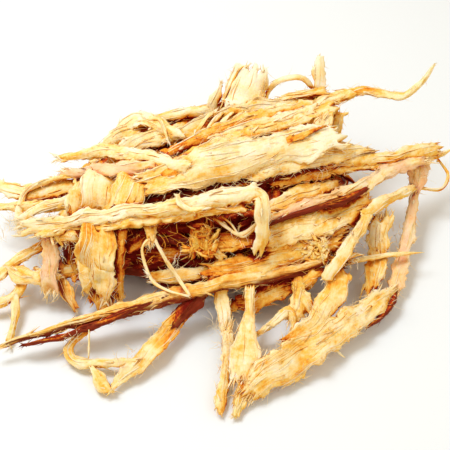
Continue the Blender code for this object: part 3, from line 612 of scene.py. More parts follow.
    Strip("small_leaf", "smooth", (2.5, 6, 6, 3), 3, (0.8, 0.5),
          ((-67, -87, 6), (-63, -94, 5), (-59, -99, 4), (-55, -101, 4)), (0.12, 0.14), (0, 0.1)),
    # The broken ends that hang over the other side.
    Strip("leaf", "smooth", (18, 20, 20, 17), 3, (1, 0.9),
          ((-66, -27, 44), (-66, -36, 37), (-67, -42, 28), (-67, -46, 20)), (0.28, -0.1), (0.2, 0.2)),
    Strip("leaf_west", "smooth", (9, 9, 8), 3, (1, 0.9),
          ((-72, -41, 28), (-72, -45, 21), (-71, -48, 14)), (0, 0), (0.1, 0.3)),
    Strip("leaf_east", "smooth", (11, 12, 9), 3, (1, 0.5),
          ((-63, -42, 31), (-63, -47, 22), (-63, -52, 12)), (-0.1, -0.06), (0.1, 0.2)),
    Strip("leaf_back", "golden", (14, 15, 14), 4, (1, 0.7),
          ((-64, -41, 21), (-65, -46, 12), (-66, -51, 5)), (0.2, 0.05), (0.3, 0.15)),
    Strip("amber_drop", "amber", (5, 6, 7), 4, (1, 0.8),
          ((-54, -26, 43), (-55, -38, 28), (-56, -48, 13)), (0, -0.2), (0.3, 1)),
    Strip("west_drop", "pink", 9, 4, (0.9, 1),
          ((-91, -24, 35), (-92, -36, 22), (-92, -45, 12)), (0.1, 0), (0.3, 1)),
    Strip("west_amber", "skin", 7, 4, (0.9, 0.5),
          ((-90, -31, 22), (-85, -41, 12), (-78, -52, 5)), (0.2, 0.2)),
    Strip("west_shade", "amber", 8, 4, (0.9, 0.6), ((-84, -20, 30), (-81, -29, 20), (-78, -38, 14))),
    Strip("west_low", "golden", 9, 4, (0.7, 0.9), ((-99, -35, 15), (-79, -33, 16), (-50, -30, 20))),
    Strip("west_spur", "golden", 6, 4, (1, 0.6),
          ((-88, -25, 29), (-107, -29, 20), (-124, -42, 12)), (0, 0), (0.4, 0.6)),
    Strip("west_tongue", "golden", 8, 3, (1, 0.5), ((-88, -38, 18), (-102, -39, 17), (-114, -33, 18))),
    Strip("west_hook", "golden", 5, 3, (1, 0.9),
          ((-104, -38, 17), (-109, -46, 10), (-124, -52, 8)), (0, 0), (0.3, 0.6)),
    Strip("west_foot", "golden", 4, 3, (1, 0.9),
          ((-109, -44, 11), (-109, -58, 6), (-111, -71, 3)), (-0.1, 0), (0.3, 0.6)),
    Strip("west_crook", "pale", (3, 3, 4, 5, 5), 3, (1, 1),
          ((-83, 7, 45), (-101, 8, 36), (-109, 6, 31), (-110, -2, 28), (-109, -11, 25)),
          (0.2, -0.05), (0.3, 0.5)),
    Strip("west_long", "straw", 9, 4, (1, 0.7),
          ((-42, 3, 37), (-76, 4, 39), (-103, 8, 31), (-127, 17, 26)), (0, -0.1), (0.3, 0.7)),
    Strip("west_mid", "golden", 6, 4, (1, 0.8),
          ((-44, -2, 36), (-76, -7, 37), (-103, -1, 30), (-125, 3, 24)), (0, -0.1), (0.3, 0.7)),
    Strip("west_pale", "pale", 6, 3, (1, 0.8),
          ((-76, -4, 40), (-93, -5, 35), (-109, -11, 30)), (0.2, 0), (0.3, 0.7)),
)


def on_mound(turn, rise, share):
    """A place on the mound: its angle about the middle, how far up the side, and a share of the size."""
    lean = rise * QUARTER_TURN
    inward = math.cos(lean) ** CORE_SHOULDER * share
    return (CORE_MIDDLE[0] + CORE_REACH[0] * inward * math.cos(turn),
            CORE_MIDDLE[1] + CORE_REACH[1] * inward * math.sin(turn),
            CORE_HEIGHT * share * math.sin(lean))


def pair(draw, limits):
    return draw.uniform(*limits), draw.uniform(*limits)


def back_strips():
    """The strips on the far side.

    Each touches the mound at its middle and runs on nearly straight, at its own slant, so its ends stand off.
    """
    draw = random.Random(SEED)
    made = []
    for place in range(BACK_COUNT):
        turn = math.radians(BACK_TURNS[0] + (BACK_TURNS[1] - BACK_TURNS[0]) * (place * TURN_STEP % 1.0))
        rise = BACK_RISES[0] + (BACK_RISES[1] - BACK_RISES[0]) * (place * RISE_STEP % 1.0)
        share = BACK_LAYERS[place % len(BACK_LAYERS)]
        middle = Vector(on_mound(turn, rise, share))
        beside = (Vector(on_mound(turn + PROBE_TURN, rise, share)) - middle).normalized()
        upward = (Vector(on_mound(turn, rise + PROBE_RISE, share)) - middle).normalized()
        outward = beside.cross(upward)
        slant = math.radians(BACK_SLANT * (BACK_SLANT_LEAST + rise)) * draw.uniform(-1.0, 1.0)
        along = beside * math.cos(slant) + upward * math.sin(slant)
        half = draw.uniform(*BACK_HALF)
        droop = half * draw.uniform(*BACK_DROOP)
        route = []
        for step in (-1.0, 0.0, 1.0):
            x, y, z = middle + along * (half * step) - outward * (droop * step * step)
            route.append((x, y, max(BACK_LOWEST, z)))
        made.append(Strip(
            f"back_{place}", BACK_KINDS[place % len(BACK_KINDS)], draw.uniform(*BACK_WIDTH),
            draw.uniform(*BACK_THICK), pair(draw, BACK_TIPS), roll=pair(draw, BACK_ROLL),
            route=tuple(route), shade=(0.1, 0.1), fray=(0.5, 0.5)))
    return made


def cross_strips():
    """The thin strands across the ridge."""
    made = []
    for place in range(CROSS_COUNT):
        route = tuple((x + place * CROSS_SPACING, y, z) for x, y, z in CROSS_ROUTE)
        made.append(Strip(
            f"cross_{place}", "pale", CROSS_WIDTH, CROSS_THICK, tips=(0.9, 0.6), route=route,
            shade=(0.1, 0.1), fray=(0.4, 0.4)))
    return made


def crumb_strips():
    """Short thick bits that lie at all angles over the places where the flesh has broken up."""
    draw = random.Random(SEED + 2)
    made = []
    for cluster, (kind, middle, wide, high, count) in enumerate(CRUMBS):
        for place in range(count):
            aside = draw.uniform(-wide, wide)
            rise = draw.uniform(-high, high)
            turn = draw.uniform(0.0, FULL_TURN)
            half = draw.uniform(*CRUMB_LENGTH) / 2.0
            bend = draw.uniform(-1.0, 1.0)
            route = []
            for step in (-1.0, 0.0, 1.0):
                across = aside + step * half * math.cos(turn)
                up = rise + step * half * math.sin(turn) + bend * (1.0 - abs(step))
                x, y, z = (value + up * way for value, way in zip(middle, UP_THE_SIDE))
                route.append((x + across, y, z))
            made.append(Strip(
                f"crumb_{cluster}_{place}", kind, draw.uniform(*CRUMB_WIDTH), draw.uniform(*CRUMB_THICK),
                pair(draw, CRUMB_TIPS), roll=pair(draw, ANY_ROLL), route=tuple(route),
                shade=pair(draw, CRUMB_SHADE), fray=(0.2, 0.2)))
    return made


def under_strips():
    """Short strips that follow the mound's side at all angles, deeper in colour than those over them as
    painted shade for the gaps.
    """
    draw = random.Random(SEED + 1)
    made = []
    for place in range(UNDER_COUNT):
        turn = draw.uniform(0.0, FULL_TURN)
        rise = draw.uniform(*UNDER_RISE) ** UNDER_RISE_POWER
        length = draw.uniform(*UNDER_LENGTH)
        swing = length / (2.0 * CORE_REACH[0] * max(UNDER_LEAST_ROUND, math.cos(rise * QUARTER_TURN)))
        climb = draw.uniform(*UNDER_CLIMB)
        share = draw.uniform(*UNDER_SHARE)
        lowest, highest = UNDER_LIMITS
        route = tuple(on_mound(turn + step * swing, min(highest, max(lowest, rise + step * climb)), share)
                      for step in UNDER_STEPS)
        kind = draw.choice(UNDER_KINDS)
        made.append(Strip(
            f"under_{place}", kind, draw.uniform(*UNDER_WIDTH), draw.uniform(*UNDER_THICK),
            pair(draw, UNDER_TIPS), roll=pair(draw, ANY_ROLL), route=route, shade=pair(draw, UNDER_SHADE),
            fray=(0.5, 0.5)))
    return made


def eased(share):
    """Turns a share into a smooth one that leaves 0 and reaches 1 level."""
    share = np.clip(share, 0.0, 1.0)
    return share * share * (3.0 - 2.0 * share)


def curve_through(route, step):
    """Points evenly spaced along a smooth curve through the route's points, its length, and the share of the
    length at which it passes each of them."""
    points = np.array(route, dtype=float)
    points = np.vstack([2 * points[0] - points[1], points, 2 * points[-1] - points[-2]])
    fine = []
    for span in range(len(points) - 3):
        u = np.linspace(0.0, 1.0, CURVE_PARTS, endpoint=False)[:, None]
        before, start, end, after = points[span:span + 4]
        square = 2 * before - 5 * start + 4 * end - after
        cube = 3 * start - before - 3 * end + after
        fine.append(0.5 * (2 * start + (end - before) * u + square * u ** 2 + cube * u ** 3))
    fine = np.vstack(fine + [points[-2][None, :]])
    gone = np.concatenate([[0.0], np.cumsum(np.linalg.norm(np.diff(fine, axis=0), axis=1))])
    count = max(8, int(round(gone[-1] / step)) + 1)
    places = np.linspace(0.0, gone[-1], count)
    even = np.column_stack([np.interp(places, gone, fine[:, axis]) for axis in range(3)])
    return even, gone[-1], gone[::CURVE_PARTS] / gone[-1]


def wander(draw, length, stations, stray):
    """A smooth random line along a strip, as far to each side and as quick to change as the stray says."""
    reach, spacing = stray
    knots = max(2, int(length / spacing) + 2)
    values = draw.uniform(-1.0, 1.0, knots + 1)
    at = np.linspace(0.0, knots - 1e-6, stations)
    low = at.astype(int)
    blend = eased(at - low)
    return reach * (values[low] * (1.0 - blend) + values[low + 1] * blend)


def between(grid, row, column, down, over):
    """What lies between the points of a grid whose columns close on themselves."""
    columns = grid.shape[1]
    left = column % columns
    right = (column + 1) % columns
    near = grid[row, left] * (1.0 - over) + grid[row, right] * over
    far = grid[row + 1, left] * (1.0 - over) + grid[row + 1, right] * over
    return near * (1.0 - down) + far * down


def relief(draw, along, around, girth, long, wide, slant=0.0):
    """Smooth random heights from -1 to 1 over a strip's sides.

    The forms are long and wide by so many millimetres. They lean by slant millimetres round the strip for
    each one along it, and they meet round it.
    """
    columns = max(3, int(round(girth / wide)))
    table = draw.uniform(-1.0, 1.0, (int(along[-1] / long) + 4, columns))
    row_place = (along / long + draw.uniform(0.0, 1.0))[:, None] + 0.0 * around[None, :]
    column_place = (around[None, :] + slant * along[:, None]) / girth * columns
    row = np.floor(row_place).astype(int)
    column = np.floor(column_place).astype(int)
    return between(table, row, column, eased(row_place - row), eased(column_place - column))


def formed(heights, form):
    """Smooth heights as they are, as creases where they pass through 0, or as hollows past a level."""
    if form.crease:
        return np.clip(1.0 - np.abs(heights) / form.crease, 0.0, 1.0)
    if form.hollow:
        return eased((heights - form.hollow) / HOLLOW_SPAN)
    return heights


def unit(vectors):
    return vectors / np.maximum(np.linalg.norm(vectors, axis=-1, keepdims=True), 1e-9)


class Piece:
    """Gathers bodies that become one mesh: their points, faces, looks and fibre directions."""

    def __init__(self):
        self.points, self.faces, self.looks, self.grains = [], [], [], []
        self.count = 0

    def add(self, points, faces, looks, grains):
        self.points.append(points)
        self.faces.append(faces + self.count)
        self.looks.append(looks)
        self.grains.append(grains)
        self.count += len(points)


def grid_faces(rows, columns):
    """Triangles over a grid of rings, each ring closed on itself."""
    row, column = np.meshgrid(np.arange(rows - 1), np.arange(columns), indexing="ij")
    here = (row * columns + column).ravel()
    beside = (row * columns + (column + 1) % columns).ravel()
    above = here + columns
    above_beside = beside + columns
    return np.vstack([np.column_stack([here, above_beside, above]),
                      np.column_stack([here, beside, above_beside])])


def cap_faces(ring, centre, flip):
    """Triangles from a ring of points to one centre."""
    after = np.roll(ring, -1)
    middle = np.full(len(ring), centre)
    return np.column_stack([after, ring, middle] if flip else [ring, after, middle])


def end_faces(around):
    """Triangles that close a ring like a zip, from its first point to the one opposite, for a thin end."""
    left = np.arange(around // 2)
    right = (around - left) % around
    faces = np.vstack([np.column_stack([left, left + 1, right - 1]),
                       np.column_stack([left, right - 1, right])])
    faces[faces < 0] += around
    return faces[(faces[:, 0] != faces[:, 2]) & (faces[:, 1] != faces[:, 2])]


def loose_look(kind, share):
    """The look of what comes loose from a strip: a share of its tone, and how much brown skin it keeps."""
    return kind.tone * share, max(0.0, LOOSE_SKIN * (kind.skin - 1.0))


def add_tubes(piece, draw, lines, backs, half_widths, flatness, look, sides):
    """Adds thin closed tubes along their lines, each with its width and the direction of its flat back."""
    reach = half_widths[:, :, None] + EDGE_GAP
    inside = (lines > BOX_LOW + reach).all(axis=(1, 2)) & (lines < BOX_HIGH - reach).all(axis=(1, 2))
    lines, backs, half_widths = lines[inside], backs[inside], half_widths[inside]
    count, steps = lines.shape[:2]
    if count == 0:
        return
    directions = unit(np.gradient(lines, axis=1))
    first = unit(np.cross(directions, backs))
    second = np.cross(directions, first)
    rings = []
    for side in range(sides):
        turn = FULL_TURN * side / sides
        offset = first * math.cos(turn) + second * (math.sin(turn) * flatness)
        rings.append(lines + offset * half_widths[:, :, None])
    each = steps * sides
    points = np.stack(rings, axis=2).reshape(count, each, 3)
    ring = np.arange(sides)
    root_cap = np.column_stack([np.zeros(sides - 2, dtype=int), ring[2:], ring[1:-1]])
    tip_cap = root_cap[:, ::-1] + each - sides
    one = np.vstack([grid_faces(steps, sides), root_cap, tip_cap])
    faces = (one[None, :, :] + (np.arange(count) * each)[:, None, None]).reshape(-1, 3)
    looks = np.zeros((count * each, 4))
    looks[:, 0] = np.repeat(look[0] + draw.uniform(-LOOSE_TONE_STRAY, LOOSE_TONE_STRAY, count), each)
    looks[:, 1] = look[1]
    grains = np.zeros((count, each, 3))
    grains[:, :, 0] = np.repeat(np.arange(steps), sides)[None, :]
    grains[:, :, 2] = draw.uniform(0.0, 100.0, count)[:, None]
    piece.add(points.reshape(-1, 3), faces, looks, grains.reshape(-1, 3))


def add_slivers(piece, draw, roots, directions, backs, lengths, widths, bends, look, flatness=1.0, sides=3,
                steps=5):
    """Adds fibres or flat splinters. Each leaves its root along its own bent line and tapers to a point."""
    share = np.linspace(0.0, 1.0, steps)
    lines = (roots[:, None, :] + directions[:, None, :] * (lengths[:, None] * share)[:, :, None]
             + bends[:, None, :] * (lengths[:, None] * share ** 2)[:, :, None])
    taper = 1.0 - SLIVER_TAPER * share ** SLIVER_TAPER_POWER
    half = widths[:, None] / 2.0 * taper * draw.uniform(*SLIVER_UNEVEN, (len(roots), steps))
    add_tubes(piece, draw, lines, np.repeat(backs[:, None, :], steps, axis=1), half, flatness, look, sides)


def strip_axes(draw, strip, middles, length, facing, sway):
    """A strip's swaying middle line, and the directions along it, across it and off its flat side."""
    stations = len(middles)
    along = unit(np.gradient(middles, axis=0))
    across = unit(np.cross(along, np.array(facing)))
    outward = np.cross(across, along)
    roll = np.radians(np.interp(np.linspace(0.0, 1.0, stations), (0.0, 1.0), strip.roll))
    roll = roll + wander(draw, length, stations, ROLL_STRAY)
    cosine = np.cos(roll)[:, None]
    sine = np.sin(roll)[:, None]
    across, outward = across * cosine + outward * sine, outward * cosine - across * sine
    aside = across * (sway * wander(draw, length, stations, SIDE_STRAY))[:, None]
    lifted = outward * (sway * wander(draw, length, stations, LIFT_STRAY))[:, None]
    return middles + aside + lifted, along, across, outward


def strip_outline(draw, strip, width, share, length):
    """Half a strip's width and half its thickness along it, and how far each place is from the nearer end."""
    stations = len(share)
    narrow = ((strip.tips[0] + (1.0 - strip.tips[0]) * eased(share / TIP_SHARE))
              * (strip.tips[1] + (1.0 - strip.tips[1]) * eased((1.0 - share) / TIP_SHARE)))
    half_width = width / 2.0 * narrow * (1.0 + wander(draw, length, stations, WIDTH_STRAY))
    ends = np.minimum(share, 1.0 - share) * length
    thin = np.sqrt(np.clip(ends / END_TAPER, END_THIN, 1.0))
    half_thick = strip.thick / 2.0 * np.sqrt(narrow) * thin
    half_thick = half_thick * (1.0 + wander(draw, length, stations, THICK_STRAY))
    return half_width, half_thick, ends


def torn_ends(draw, points, along, along_mm, length, broadest, cosine):
    """A strip's points, with its two ends pulled out into ragged teeth."""
    reach = min(TEETH_MOST, TEETH_REACH * broadest + TEETH_LEAST)
    knots = np.linspace(-1.0, 1.0, max(4, int(broadest / TEETH_WIDTH)))
    for way, from_end in ((-1.0, along_mm), (1.0, length - along_mm)):
        torn = np.interp(cosine, knots, draw.uniform(-1.0, 1.0, len(knots)))
        pull = way * reach * eased(1.0 - from_end / TEETH_SPAN)[:, None] * torn[None, :]
        points = points + along[:, None, :] * pull[:, :, None]
    return points


def strip_looks(strip, share, across, cosine, edge, forms, heights):
    """A strip's tone, brown skin and pink blush at each point, with room for its painted shade."""
    kind = KINDS[strip.kind]

    def varied(much, long, wide):
        return much * heights(long, wide)

    tone = kind.tone + strip.shade[0] * (1.0 - share) ** 2 + strip.shade[1] * share ** 2
    tone = tone[:, None] + varied(*TONE_PATCHES) - EDGE_TONE * edge
    # The forms' tones paint shade into the sunk relief and light onto the raised relief.
    tone = tone + sum((form.tone + form.rough_tone * kind.rough) * forms[name]
                      for name, form in FORMS.items())
    lower = np.clip(-cosine * np.sign(across[:, 2:3] + 1e-6) + SKIN_SPILL, 0.0, 1.0)
    brown = kind.skin * (SKIN_ON_EDGE * lower + varied(*SKIN_PATCHES) - SKIN_LOSS)
    brown = np.clip(brown + max(0.0, kind.skin - 1.0), 0.0, 1.0)
    blush = kind.blush * np.clip(BLUSH_LEVEL + varied(*BLUSH_PATCHES), 0.0, 1.0)
    return np.stack([tone, brown, blush, np.zeros_like(tone)], axis=2)


def add_strip(piece, loose, strip, facing, fineness=1.0, hairiness=1.0):
    """Adds one torn strip of uneven flesh with ragged edges, and its loose fibres and splinters."""
    kind = KINDS[strip.kind]
    name_number = sum(ord(letter) * (place + 1) for place, letter in enumerate(strip.name))
    draw = np.random.default_rng([SEED, name_number])
    middles, length, stops = curve_through(strip.route, STATION_STEP / fineness)
    stations = len(middles)
    share = np.linspace(0.0, 1.0, stations)
    along_mm = share * length
    widths = strip.width if isinstance(strip.width, tuple) else (strip.width,) * len(strip.route)
    width = np.interp(share, stops, widths)
    broadest = max(widths)
    girth = math.pi * (broadest + strip.thick) / 2.0
    around = 2 * int(np.clip(round(girth / ROUND_STEP * fineness), FEWEST_ROUND, MOST_ROUND) / 2)
    turn = FULL_TURN * np.arange(around) / around
    around_mm = turn / FULL_TURN * girth
    middles, along, across, outward = strip_axes(
        draw, strip, middles, length, facing, min(SWAY_MOST, broadest * SWAY_SHARE))

    def heights(long, wide, slant=0.0):
        return relief(draw, along_mm, around_mm, girth, long, wide, slant)

    # The outline and the relief.
    half_width, half_thick, ends = strip_outline(draw, strip, width, share, length)
    cosine = np.cos(turn)[None, :]
    sine = np.sin(turn)[None, :]
    edge = np.abs(cosine) ** EDGE_POWER
    small = min(1.0, broadest / FULL_RELIEF_WIDTH)
    lean = draw.uniform(-LEAN_MOST, LEAN_MOST)
    forms = {name: formed(heights(form.long, form.wide, form.lean * lean), form)
             for name, form in FORMS.items()}
    height = sum((form.height + form.rough_height * kind.rough) * forms[name]
                 for name, form in FORMS.items())
    raised = small * height * np.clip(ends / RELIEF_TAPER, RELIEF_LEAST, 1.0)[:, None]
    tears = sum(deep * heights(long, girth / 4.0) for deep, long in TEARS)
    tears = tears - NOTCH_DEPTH * eased((heights(NOTCH_LONG, girth / 4.0) - NOTCH_LEVEL) / NOTCH_SPAN)
    ragged = kind.ragged * small * np.minimum(1.0, half_width / TEAR_FULL_HALF)[:, None]

    # The sides, cupped along the strip, and the torn ends.
    x = half_width[:, None] * cosine + np.sign(cosine) * edge * tears * ragged
    y = half_thick[:, None] * np.sign(sine) * np.abs(sine) ** SIDE_POWER
    normal_x = cosine / np.maximum(half_width[:, None], THINNEST_HALF)
    normal_y = sine / np.maximum(half_thick[:, None], THINNEST_HALF)
    scale = np.hypot(normal_x, normal_y)
    x = x + raised * normal_x / scale
    y = y + raised * normal_y / scale
    cupped = width * small * wander(draw, length, stations, CUP_STRAY)
    y = y + cupped[:, None] * (cosine ** 2 - CUP_LEVEL)
    points = middles[:, None, :] + across[:, None, :] * x[:, :, None] + outward[:, None, :] * y[:, :, None]
    points = torn_ends(draw, points, along, along_mm, length, broadest, cosine[0])
    points = np.clip(points, BOX_LOW + EDGE_GAP, BOX_HIGH - EDGE_GAP)

    # The looks, the fibre directions and the faces.
    looks = strip_looks(strip, share, across, cosine, edge, forms, heights)
    grains = np.stack([np.repeat(along_mm[:, None], around, axis=1),
                       around_mm[None, :] + GRAIN_LEAN * lean * along_mm[:, None],
                       np.full_like(x, draw.uniform(0.0, 100.0))], axis=2)
    end = end_faces(around)
    faces = np.vstack([grid_faces(stations, around), end[:, ::-1], end + (stations - 1) * around])[:, ::-1]
    piece.add(points.reshape(-1, 3), faces, looks.reshape(-1, 4), grains.reshape(-1, 3))

    area = broadest * 2.0 * length / 100.0 * hairiness
    add_fuzz(loose, draw, kind, area, points, along, cosine[0])
    add_splinters(loose, draw, kind, area, points, along, cosine[0], sine[0])
    add_strands(loose, draw, kind, area, points, sine[0])
    add_frays(loose, draw, kind, broadest * hairiness, strip.fray, points, along, across)


def pick_roots(draw, count, points, weight):
    """Random places on a strip's sides, which way is off the strip there, and a way along it for each."""
    stations, around = points.shape[:2]
    at = draw.integers(1, stations - 1, count)
    side = draw.choice(around, count, p=weight / weight.sum())
    roots = points[at, side]
    way = np.where(draw.uniform(size=count) < 0.5, -1.0, 1.0)[:, None]
    return at, roots, unit(roots - points[at].mean(axis=1)), way


def add_fuzz(loose, draw, kind, area, points, along, cosine):
    """Fine fibres that stand off a strip, most of them at its edges."""
    count = int(kind.fuzz * area * draw.uniform(*COUNT_RANGE))
    at, roots, off, way = pick_roots(draw, count, points, FUZZ_ON_SIDES + cosine ** 4)
    lean = draw.uniform(*FUZZ_LEAN, count)[:, None]
    directions = unit(along[at] * way + off * lean + draw.normal(0.0, FUZZ_SCATTER, (count, 3)))
    bends = draw.normal(0.0, FUZZ_BEND, (count, 3)) - off * FUZZ_DROOP
    add_slivers(loose, draw, roots - directions * FUZZ_ROOT, directions, off,
                draw.uniform(*FUZZ_LENGTH, count), draw.uniform(*FUZZ_WIDTH, count), bends,
                loose_look(kind, FUZZ_TONE), steps=4)


def add_splinters(loose, draw, kind, area, points, along, cosine, sine):
    """Flat flakes of flesh that lie on a strip and lift at one end."""
    count = int(kind.flakes * area * draw.uniform(*COUNT_RANGE))
    weight = np.clip(FLAKE_ON_TOP + sine, 0.0, 1.0) + cosine ** 4
    at, roots, off, way = pick_roots(draw, count, points, weight)
    lean = draw.uniform(*FLAKE_LEAN, count)[:, None]
    aside = np.cross(along[at], off)
    directions = unit(along[at] * way + off * lean + aside * draw.normal(0.0, FLAKE_SCATTER, (count, 1)))
    bends = draw.normal(0.0, FLAKE_BEND, (count, 3)) + off * draw.uniform(*FLAKE_CURL, (count, 1))
    add_slivers(loose, draw, roots - directions * FLAKE_ROOT - off * FLAKE_SINK, directions, off,
                draw.uniform(*FLAKE_LENGTH, count), draw.uniform(*FLAKE_WIDTH, count), bends,
                loose_look(kind, FLAKE_TONE), flatness=FLAKE_FLATNESS, sides=4, steps=4)


def add_strands(loose, draw, kind, area, points, sine):
    """Long fibres that lie on a strip's upper side and sink into it at both ends."""
    stations, around = points.shape[:2]
    count = int(kind.strands * area * draw.uniform(*COUNT_RANGE))
    share = np.linspace(0.0, 1.0, STRAND_STEPS)
    span = np.minimum(draw.uniform(*STRAND_SPAN, count) / STATION_STEP, STRAND_MOST * stations)
    start = draw.uniform(0.0, 1.0, count) * (stations - 1.01 - span)
    weight = np.clip(STRAND_ON_TOP + sine, 0.0, 1.0)
    side = draw.choice(around, count, p=weight / weight.sum())
    row_place = start[:, None] + span[:, None] * share
    column_place = side[:, None] + (draw.normal(0.0, STRAND_DRIFT, count) * span)[:, None] * share + around
    row = row_place.astype(int)
    column = column_place.astype(int)
    lines = between(points, row, column, (row_place - row)[:, :, None], (column_place - column)[:, :, None])
    off = unit(lines - points[row].mean(axis=2))
    rise = np.sin(math.pi * share)[None, :]
    lines = lines + off * (draw.uniform(*STRAND_RISE, count)[:, None] * rise - STRAND_SINK)[:, :, None]
    half = draw.uniform(*STRAND_HALF, count)[:, None] * np.sqrt(rise + STRAND_TIP)
    add_tubes(loose, draw, lines, off, half, STRAND_FLATNESS, loose_look(kind, STRAND_TONE), 3)


def add_frays(loose, draw, kind, broadest, fray, points, along, across):
    """Splinters and fibres that run on past a strip's torn ends."""
    around = points.shape[1]
    for at, way, amount in ((0, -1.0, fray[0]), (-1, 1.0, fray[1])):
        centre = points[at].mean(axis=0)
        for share, widths, flatness in FRAY_SORTS:
            count = int(share * amount * (FRAY_COUNT + broadest * FRAY_COUNT_EACH_MM))
            side = draw.integers(0, around, count)
            roots = centre + (points[at, side] - centre) * draw.uniform(*FRAY_ROOTS, (count, 1))
            spread = across[at] * draw.normal(0.0, FRAY_SPREAD, (count, 1))
            directions = unit(along[at] * way + spread + draw.normal(0.0, FRAY_SCATTER, (count, 3)))
            reach = FRAY_REACH + FRAY_REACH_MORE * min(FRAY_MOST, amount)
            lengths = draw.uniform(*FRAY_LENGTH, count) * reach + FRAY_SINK
            backs = np.tile(np.cross(across[at], along[at]), (count, 1))
            add_slivers(loose, draw, roots - directions * FRAY_SINK, directions, backs, lengths,
                        draw.uniform(*widths, count), draw.normal(0.0, FRAY_BEND, (count, 3)),
                        loose_look(kind, FRAY_TONE), flatness=flatness, sides=4)


def add_tufts(loose, seed, places, lengths, widths):
    """Fine fibres that curl every way out of the torn places."""
    draw = np.random.default_rng(seed)
    share = np.linspace(0.0, 1.0, TUFT_STEPS)[None, :, None]
    for middle, spread, count, tone in places:
        roots = np.array(middle, dtype=float) + draw.normal(0.0, spread / TUFT_CROWD, (count, 3))
        heading = unit(draw.normal(0.0, 1.0, (count, 3)) + np.array(FRONT_FACING))
        turning = unit(draw.normal(0.0, 1.0, (count, 3)))
        length = draw.uniform(*lengths, count)[:, None, None]
        curl = draw.uniform(-TUFT_CURL, TUFT_CURL, count)[:, None, None]
        aside = np.cross(heading, turning)
        lines = (roots[:, None, :] + heading[:, None, :] * length * share * (1.0 - TUFT_REACH_LOSS * share)
                 + aside[:, None, :] * length * np.sin(curl * share) * share * TUFT_SWING)
        half = draw.uniform(*widths, count)[:, None] / 2.0 * (1.0 - TUFT_THIN * share[:, :, 0])
        backs = np.repeat(turning[:, None, :], TUFT_STEPS, axis=1)
        add_tubes(loose, draw, lines, backs, half, 1.0, (tone, 0.0), 3)


def add_core(piece):
    """The mound that shows at the bottom of the gaps, deep in tone as painted shade, with relief that runs
    along it.
    """
    draw = np.random.default_rng(SEED)
    rise = np.linspace(0.0, CORE_TOP, CORE_RINGS)
    turn = FULL_TURN * np.arange(CORE_ROUND) / CORE_ROUND
    lean = rise * QUARTER_TURN
    inward = np.cos(lean)[:, None] ** CORE_SHOULDER
    up_mm = rise * CORE_HEIGHT * CORE_SIDE_SHARE
    girth = FULL_TURN * CORE_REACH[0]
    around_mm = turn * CORE_REACH[0]
    bulges = sum(high * relief(draw, up_mm, around_mm, girth, long, wide, slant)
                 for high, long, wide, slant in CORE_BULGES)
    x = CORE_MIDDLE[0] + (CORE_REACH[0] * CORE_SHARE * inward + bulges) * np.cos(turn)[None, :]
    y = CORE_MIDDLE[1] + (CORE_REACH[1] * CORE_SHARE * inward + bulges) * np.sin(turn)[None, :]
    z = CORE_HEIGHT * CORE_SHARE * np.sin(lean)[:, None] + CORE_LIFT * bulges
    z[0] = FLOOR_GAP
    points = np.stack([x, y, np.maximum(z, FLOOR_GAP)], axis=2).reshape(-1, 3)
    peak = points[-CORE_ROUND:].mean(axis=0)
    foot = np.array([CORE_MIDDLE[0], CORE_MIDDLE[1], FLOOR_GAP])
    last = len(points)
    faces = np.vstack([
        grid_faces(CORE_RINGS, CORE_ROUND),
        cap_faces(np.arange(CORE_ROUND), last + 1, True),
        cap_faces(np.arange(CORE_ROUND) + last - CORE_ROUND, last, False)])
    looks = np.zeros((last + 2, 4))
    looks[:, 0] = CORE_SHADE_TONE
    looks[:last, 0] += CORE_BULGE_TONE * bulges.ravel()
    grains = np.zeros((last + 2, 3))
    grains[:last, 0] = np.repeat(around_mm[None, :], CORE_RINGS, axis=0).ravel()
    grains[:last, 1] = np.repeat(up_mm[:, None], CORE_ROUND, axis=1).ravel()
    piece.add(np.vstack([points, peak, foot]), faces, looks, grains)


def blurred(space, passes):
    """Spreads what fills the cells of a space over their neighbours, once for each pass."""
    for _ in range(passes):
        for axis in range(space.ndim):
            before = np.roll(space, 1, axis=axis)
            after = np.roll(space, -1, axis=axis)
            space = (before + space + after) / 3.0
    return space


def risen(values, rise):
    """How far values have come from where a rise starts to where it ends."""
    start, span = rise
    return eased((values - start) / span)


def painted_shade_of(tight, loose, above, normals, is_fibre):
    """The painted shade of points: how closed in they are by what fills the space near them, wide round them
    and above them, and how far they turn from the lamp.
    """
    closed = (SHADE_TIGHT * risen(tight, TIGHT_RISE) + SHADE_WIDE * risen(loose, WIDE_RISE)
              + SHADE_ABOVE * risen(above, ABOVE_RISE))
    turned = np.clip(TURNED_SHADE_LEVEL - normals @ np.array(TO_LAMP), 0.0, 1.0)
    closed = np.clip(closed, 0.0, 1.0) ** SHADE_CURVE + SHADE_TURNED_FROM_LAMP * turned
    closed = np.clip(closed, 0.0, 1.0)
    return closed ** SHADE_FIBRE_POWER if is_fibre else closed


